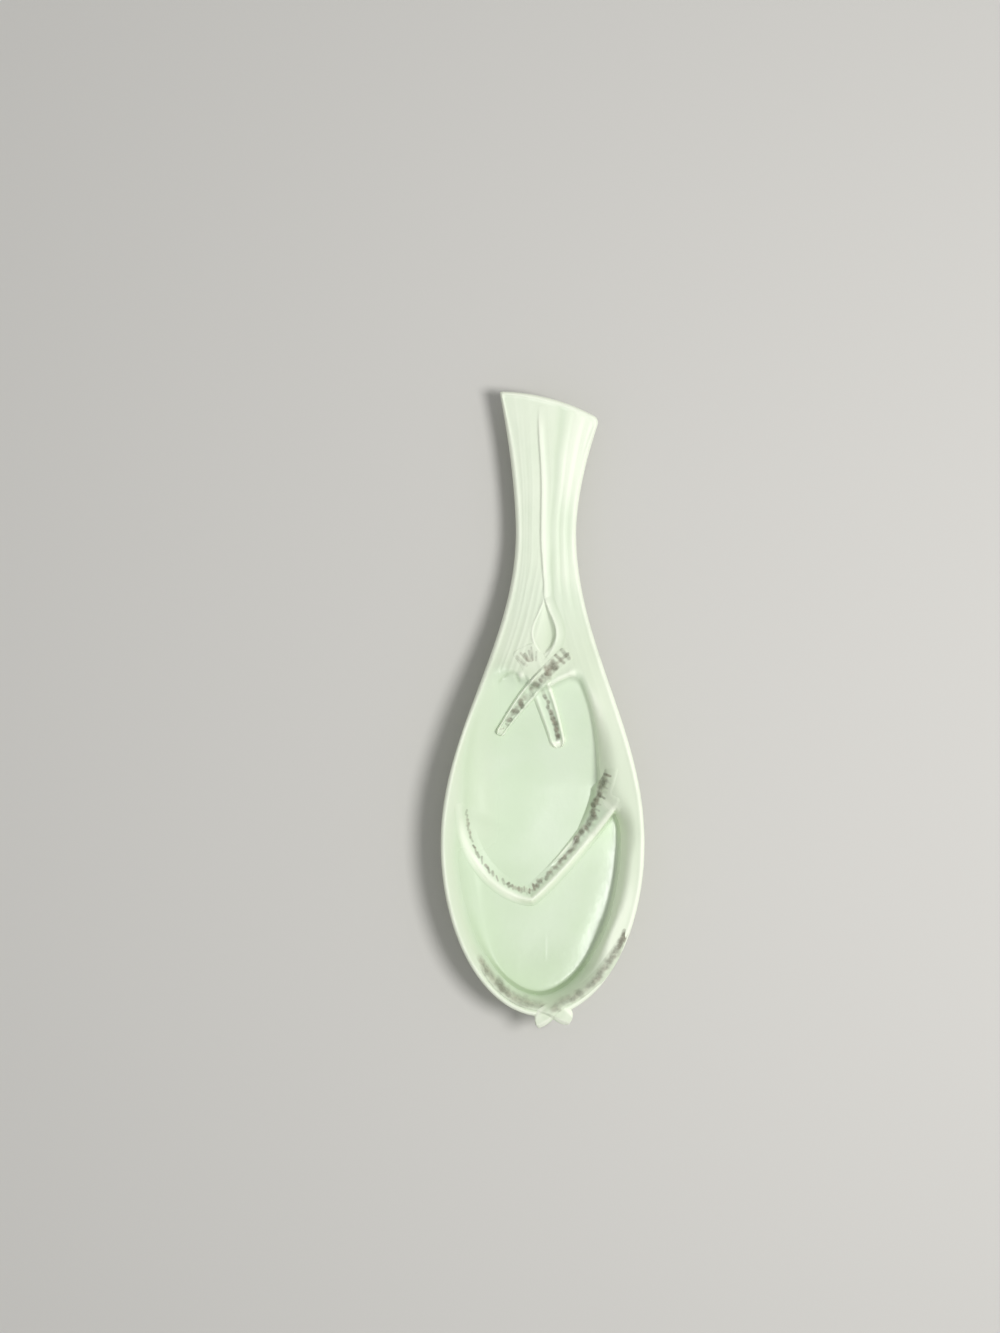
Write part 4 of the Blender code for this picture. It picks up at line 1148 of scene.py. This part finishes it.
def overShortLeaf(x, y):  # the long leaf rides over the short one
    path = leafPath(shortLeaf)[::6]
    along, across = nearPath(x, y, path)
    lifted = leafHeight(shortLeaf, along, across)
    inside = fade(np.abs(across) / leafHalf(shortLeaf, along), *leafForm["overEdge"])
    return trayTop(x, y) + leafForm["overLift"] * np.maximum(lifted, 0.0) * inside


makeLeaf("short_leaf", shortLeaf, trayTop, fanMarks(shortLeaf), "short_leaf_tip")
makeLeaf("long_leaf", longLeaf, overShortLeaf, blockMarks(longLeaf), "long_leaf_tip")


# The stalk's vein and its fork round the almond hollow

# a profile is the height of a ridge and the width of its bell to each side. ends says how long it takes to
# rise and to fall
vein = {"profile": (0.62, 1.6, 0.50), "ends": (13.0, 5.0), "endGap": 2.4, "endShift": 5.2, "neckShift": 1.75,
        "stations": 240, "across": 30}
ribRight = {"profile": (1.0, 1.6, 0.6), "ends": (4.0, 3.0), "side": 1, "reach": 1.0,
            "stations": 130, "across": 26}
ribLeft = {"profile": (0.3, 0.5, 0.5), "ends": (4.0, 3.0), "side": -1, "reach": 0.94,
           "stations": 130, "across": 26}
ridgeForm = {
    "endRound": (1.5, 1.5),
    "direction": 1.5,
    "reach": 2.6,  # its border lies this many widths out
    "startLow": 0.08,
    "endLow": 0.25,
    "bed": {"border": 0.84, "dip": 0.2, "sink": 0.7, "pole": -0.25, "steep": 1.2},
    "white": 0.5,
    "whiteWidth": 0.7,
    "poolAndShade": (0.25, -0.75, 0.2),
}


def makeRidge(name, path, ridge, node):
    # an uneven bell carried along a path: one width to each side of its crest
    path = evenPath(path, ridge["stations"])
    along = travelAlong(path)[:, None]
    height, left, right = ridge["profile"]
    q = np.linspace(-1.0, 1.0, ridge["across"])
    closing = closedEnds(along, *ridgeForm["endRound"])
    width = np.where(q < 0, left, right)
    offsets = ridgeForm["reach"] * width * q * closing
    x, y = stripPlan(path, offsets, ridgeForm["direction"])
    start, end = ridge["ends"]
    grown = grow(along, ridgeForm["startLow"], start) * grow(along[-1, 0] - along, ridgeForm["endLow"], end)
    relief = dipped(height * grown * hill(offsets, width), q, ridgeForm["bed"])
    grid = stripGrid(x, y, q, trayTop(x, y), relief, closing, ridgeForm["bed"])
    crest = hill(offsets, ridgeForm["whiteWidth"] * width)
    thinAndSheen = np.clip(topThinAndSheen(x, y) + ridgeForm["white"] * crest * grown, 0.0, 1.0)
    poolAndShade = spot(q, *ridgeForm["poolAndShade"]) + 0.0 * along
    marks = {"thinAndSheen": thinAndSheen, "poolAndShade": poolAndShade, "dry": topDry(x, y)}
    addPiece(name, grid, loopMarks(marks), celadonGlaze, [node])


def veinPath():  # the stalk's middle line, drifting left to the handle's end
    endY = (yLeftCorner + yRightCorner) / 2 - vein["endGap"] + tray["endBulge"]
    y = np.linspace(endY, fork["y"] - 1.0, 200)
    toNeck = smooth((y - fork["y"]) / (yNeck - fork["y"]))
    pastNeck = smooth((y - yNeck) / (endY - yNeck)) ** 2
    shift = fork["shift"] * (1.0 - toNeck) - vein["neckShift"] * toNeck
    shift = shift - (vein["endShift"] - vein["neckShift"]) * pastNeck
    return np.stack([(leftEdge(y) + rightEdge(y)) / 2 + shift, y], axis=1)


def ribPath(rib):  # half of the fork's outline
    share = np.linspace(0.0, rib["reach"], 120)
    y = fork["y"] + 1.5 - fork["length"] * share
    return np.stack([forkX(y) + rib["side"] * (fork["width"] / 2) * forkSpread(share), y], axis=1)


makeRidge("stalk_vein_ridge", veinPath(), vein, "stalk_vein")
makeRidge("fork_rib_right", ribPath(ribRight), ribRight, "vein_fork_right")
makeRidge("fork_rib_left", ribPath(ribLeft), ribLeft, "vein_fork_left")


# Leaf edges round the bowl's end, whose small tips cross past the rim

endLeaf = {
    "width": 5.2,
    "startWidth": (0.55, 16.0),  # share of the width at the start, and the way over which it grows
    "swell": (0.9, 4.0, 4.0),  # from the point
    "pointWidth": (0.84, 3.0),
    "endRound": (2.0, 1.3),
    "relief": 1.2,
    "growth": (0.15, 14.0),
    "flat": 0.3,  # flat share of the half width, none on the inner side until near the point
    "flatFrom": (-9.0, 6.0),
    "body": 0.75,
    "bodyEnd": 0.95,
    "edge": (0.25, 0.62, 0.2),
    "innerEdge": 0.3,
    "droop": 0.9,
    "droopFrom": 1.0,
    "droopRun": 4.0,
    "slantFrom": (-5.0, 5.0),  # one corner of the end reaches further
    "bed": {"border": 0.88, "dip": 0.2, "sink": 2.4, "pole": -0.5, "steep": 1.2},
    "wash": 0.4,  # thin pigment all along it
    "washWidth": 0.7,
    "washStart": 4.0,
    "washEnd": (5.5, 4.5),
    "whiteEdge": (0.7, 0.2),
    "whiteLow": 0.15,
    "whiteEnd": (0.65, -9.0, 4.0),
    "whiteTip": (0.45, -6.0, 4.0),
    "poolAndShade": (0.1, 1.0, 0.15),
    "overEdge": (1.2, -0.4),  # how the upper leaf climbs over the lower one
    "overEnd": (1.5, -3.0),
    # strokes: start and stop along the leaf, spacing, draws of place across, half length, half width, turn
    "strokes": (1.5, -7.0),
    "spacing": (0.5, 1.6),
    "draws": ((-0.9, 0.9), (0.5, 1.6), (0.6, 1.1), (-0.3, 1.3)),
    "force": 0.18,
    "forceDraw": (0.4, 1.5),
    "mostForce": 0.6,
    "startForceAt": (3.0, 6.0),
    "stations": 280,
    "across": 44,
    # where each leaf starts and leaves the bowl's oval (degrees from its end), how far inside the rim it
    # runs, then where it bends out and where its point lies (x, and y from the bowl's end)
    "over": {"turn": (60.0, 14.0), "inset": (2.0, 4.2), "bend": (3.4, 3.2), "point": (-2.9, -2.3),
             "lean": -1.3, "inner": 1, "startForce": 0.35, "seed": 32},
    "under": {"turn": (-48.0, -4.0), "inset": (4.3, 4.2), "bend": (4.6, 3.0), "point": (11.0, -1.2),
              "lean": 0.5, "inner": -1, "startForce": 0.0, "seed": 31},
}


def endLeafPath(leaf):
    turn = np.radians(np.linspace(*leaf["turn"], 160))
    inset = np.linspace(*leaf["inset"], 160)
    ovalY = yWide - (tray["bowlEnd"] - inset) * np.cos(turn)
    oval = np.stack([(halfBowl - inset) * np.sin(turn), ovalY], axis=1)
    corner, point = [(x, yEnd + y) for x, y in (leaf["bend"], leaf["point"])]
    return evenPath(np.concatenate([oval, bend(oval[-1], corner, point, 40)[1:]]), endLeaf["stations"])


def endLeafHalf(along, total):  # half width: grows from its start, swells at the bend, narrows to the point
    half = endLeaf["width"] / 2 * grow(along, *endLeaf["startWidth"]) + spot(total - along, *endLeaf["swell"])
    return half * grow(total - along, *endLeaf["pointWidth"])


def endLeafHeight(leaf, along, across, total):  # a low roll, gentler on the side of the wells
    q = np.abs(across / endLeafHalf(along, total))
    inner = across * leaf["inner"] > 0
    flat = endLeaf["flat"] * np.where(inner, fade(along - total, *endLeaf["flatFrom"]), 1.0)
    body = endLeaf["body"] * (1.0 - fade(q, flat, endLeaf["bodyEnd"] - flat))
    edge = spot(q, *endLeaf["edge"]) * np.where(inner, endLeaf["innerEdge"], 1.0)
    height = endLeaf["relief"] * grow(along, *endLeaf["growth"]) * (body + edge)
    return dipped(height, q, endLeaf["bed"])


def endGround(x, y):  # the rim, drooping a little past its edge
    past = np.clip((yEnd + endLeaf["droopFrom"] - y) / endLeaf["droopRun"], 0.0, 2.0)
    return trayTop(x, y) - endLeaf["droop"] * past ** 2


def overEndLeaf(x, y):  # the upper leaf edge climbs over the lower one
    leaf = endLeaf["under"]
    path = endLeafPath(leaf)[::6]
    along, across = nearPath(x, y, path)
    total = travelAlong(path)[-1]
    inside = fade(np.abs(across) / endLeafHalf(along, total), *endLeaf["overEdge"])
    inside = inside * fade(along - total, *endLeaf["overEnd"])
    return endGround(x, y) + np.maximum(endLeafHeight(leaf, along, across, total), 0.0) * inside


def endMarks(leaf, total):  # soft smudged hatching, strongest at the start of the upper leaf
    rng = np.random.default_rng(leaf["seed"])
    start, stop = endLeaf["strokes"]
    places = uneven(rng, start, total + stop, *endLeaf["spacing"])
    force = endLeaf["force"] + leaf["startForce"] * hillAt(places, *endLeaf["startForceAt"])
    force = force * rng.uniform(*endLeaf["forceDraw"], len(places))
    rows = draws(rng, len(places), endLeaf["draws"], (0, 0, 0, 0), (1, 1, 1, 1))
    return np.array([places, *rows, np.clip(force, 0.0, endLeaf["mostForce"])]).T


def makeEndLeaf(name, leaf, ground, node):
    path = endLeafPath(leaf)
    along = travelAlong(path)[:, None]
    total = along[-1, 0]
    ends = closedEnds(along, *endLeaf["endRound"])
    q = np.linspace(-1.0, 1.0, endLeaf["across"])
    across = endLeafHalf(along, total) * q
    x, y = stripPlan(path, across * ends, endLeaf["width"] / 2)
    way = pathWay(path, endLeaf["width"] / 2)
    slant = leaf["lean"] * q * ends * fade(along - total, *endLeaf["slantFrom"])
    x, y = x + way[:, :1] * slant, y + way[:, 1:] * slant
    height = endLeafHeight(leaf, along, across, total)
    grid = stripGrid(x, y, q, ground(x, y), height, ends, endLeaf["bed"])
    wash = endLeaf["wash"] * hill(q, endLeaf["washWidth"]) * smooth(along / endLeaf["washStart"])
    wash = wash * fade(total - along, *endLeaf["washEnd"])
    brush = 1.0 - (1.0 - strokeCover(along, across, endMarks(leaf, total))) * (1.0 - wash)
    white = endLeaf["whiteLow"] + part(along - total, *endLeaf["whiteEnd"])
    thinAndSheen = hillAt(np.abs(q), *endLeaf["whiteEdge"]) * white + part(along - total, *endLeaf["whiteTip"])
    poolAndShade = spot(np.abs(q), *endLeaf["poolAndShade"]) + 0.0 * along
    marks = {"brush": brush, "thinAndSheen": overTray(thinAndSheen, topThinAndSheen(x, y)), "poolAndShade": poolAndShade, "dry": topDry(x, y)}
    addPiece(name, grid, loopMarks(marks), brushedGlaze, [node])


makeEndLeaf("end_leaf_lower", endLeaf["under"], endGround, "end_leaf_under")
makeEndLeaf("end_leaf_upper", endLeaf["over"], overEndLeaf, "end_leaf_over")


# The oval foot, left unglazed

footLow, footHigh = nodeBox("foot_ring")
foot = {"width": 4.0, "round": 3.2, "set": 0.6, "stations": 220, "around": 28}


def makeFoot():
    # a rounded-square profile carried round an oval, its top set into the underside
    angle = np.linspace(0.0, 2 * np.pi, foot["stations"], endpoint=False)[None, :]
    turn = np.linspace(0.0, 2 * np.pi, foot["around"] + 1)[:, None]
    cosine, sine = np.cos(turn), np.sin(turn)
    power = 2 / foot["round"]
    out = foot["width"] / 2 * (np.sign(cosine) * np.abs(cosine) ** power - 1.0)
    top = footHigh[2] + foot["set"]
    z = footLow[2] + (top - footLow[2]) / 2 * (np.sign(sine) * np.abs(sine) ** power + 1.0)
    centre, half = (footLow + footHigh) / 2, (footHigh - footLow) / 2
    x = centre[0] + (half[0] + out) * np.cos(angle)
    y = centre[1] + (half[1] + out) * np.sin(angle)
    grid = np.stack([x, y, z + 0.0 * x], axis=-1)
    addPiece("foot_oval", grid, {}, bareClay, ["foot_ring"])


makeFoot()


# Studio: pale floor, a key lamp from the right that only shades, two lamps that only shine, an even sky

studio = {
    "floor": paint(206, 204, 199),
    "floorTint": paint(198, 196, 190),
    "tintCover": 0.06,
    "tintScale": 3.0,
    "floorRoughness": 0.75,
    "floorHalf": 3.0,
    "sky": paint(236, 237, 238),
    "ambient": 0.48,
    "backdrop": 0.8,
    # turn runs from +X towards +Y
    "key": {"power": 7.0, "size": 0.32, "turn": -4.0, "rise": 64.0, "distance": 1.0, "shines": False},
    "sheen": {"power": 2.1, "size": 0.55, "turn": 10.0, "rise": 53.0, "distance": 1.4, "shines": True},
    "glare": {"power": 2.8, "size": 0.10, "turn": 211.0, "rise": 79.4, "distance": 1.35, "shines": True},
}
# fieldHeight is measured at a focus this far below the part's top
view = {"fieldHeight": 0.5026, "aside": (-0.0160, 0.0159), "focus": 0.008, "distance": 1.0, "sensor": 36.0}
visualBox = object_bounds()
centre = (visualBox[0] + visualBox[1]) / 2


def makeFloor():
    half = studio["floorHalf"]
    corners = [(-half, -half, 0.0), (half, -half, 0.0), (half, half, 0.0), (-half, half, 0.0)]
    mesh = bpy.data.meshes.new("floor")
    mesh.from_pydata(corners, [], [(0, 1, 2, 3)])
    material, shader, start = startMaterial("floor_paint")
    place = start.make("TexCoord", output="Object")
    tint = start.noise(place, studio["tintScale"], 2.0) * studio["tintCover"]
    feed(tint.mix(studio["floor"], studio["floorTint"]), shader, "Base Color")
    shader.inputs["Roughness"].default_value = studio["floorRoughness"]
    mesh.materials.append(material)
    floor = bpy.data.objects.new("floor", mesh)
    bpy.context.scene.collection.objects.link(floor)


def makeLamp(name, settings):
    lamp = bpy.data.lights.new(name, "AREA")
    lamp.shape = "DISK"
    lamp.size = settings["size"]
    lamp.energy = settings["power"]
    turn, rise = np.radians(settings["turn"]), np.radians(settings["rise"])
    towards = Vector((np.cos(rise) * np.cos(turn), np.cos(rise) * np.sin(turn), np.sin(rise)))
    holder = bpy.data.objects.new(name, lamp)
    holder.location = centre + towards * settings["distance"]
    holder.rotation_euler = towards.to_track_quat("Z", "Y").to_euler()
    holder.visible_glossy = settings["shines"]
    holder.visible_diffuse = not settings["shines"]
    bpy.context.scene.collection.objects.link(holder)


def makeSky():
    # even light on the object, while a camera ray or a reflection sees a pale backdrop
    world = bpy.data.worlds.new("studio_sky")
    world.use_nodes = True
    bpy.context.scene.world = world
    start = Shade(world.node_tree)
    seen = start.make("LightPath", output="Is Camera Ray") + start.make("LightPath", output="Is Glossy Ray")
    seen = (seen + start.make("LightPath", output="Is Transmission Ray")).between(0.0, 1.0)
    background = world.node_tree.nodes["Background"]
    background.inputs["Color"].default_value = studio["sky"]
    strength = studio["ambient"] + seen * (studio["backdrop"] - studio["ambient"])
    feed(strength, background, "Strength")


def makeCamera():
    lens = bpy.data.cameras.new("camera")
    lens.sensor_width = view["sensor"]  # the long side of the frame
    lens.lens = view["sensor"] * view["distance"] / view["fieldHeight"]
    camera = bpy.data.objects.new("camera", lens)
    aimX, aimY = view["aside"]
    focusZ = visualBox[1].z - view["focus"]
    camera.location = (centre.x + aimX, centre.y + aimY, focusZ + view["distance"])
    bpy.context.scene.collection.objects.link(camera)
    bpy.context.scene.camera = camera


makeFloor()
for name in ("key", "sheen", "glare"):
    makeLamp(name + "_lamp", studio[name])
makeSky()
makeCamera()
bpy.context.scene.view_settings.view_transform = "Standard"
print("studio made")
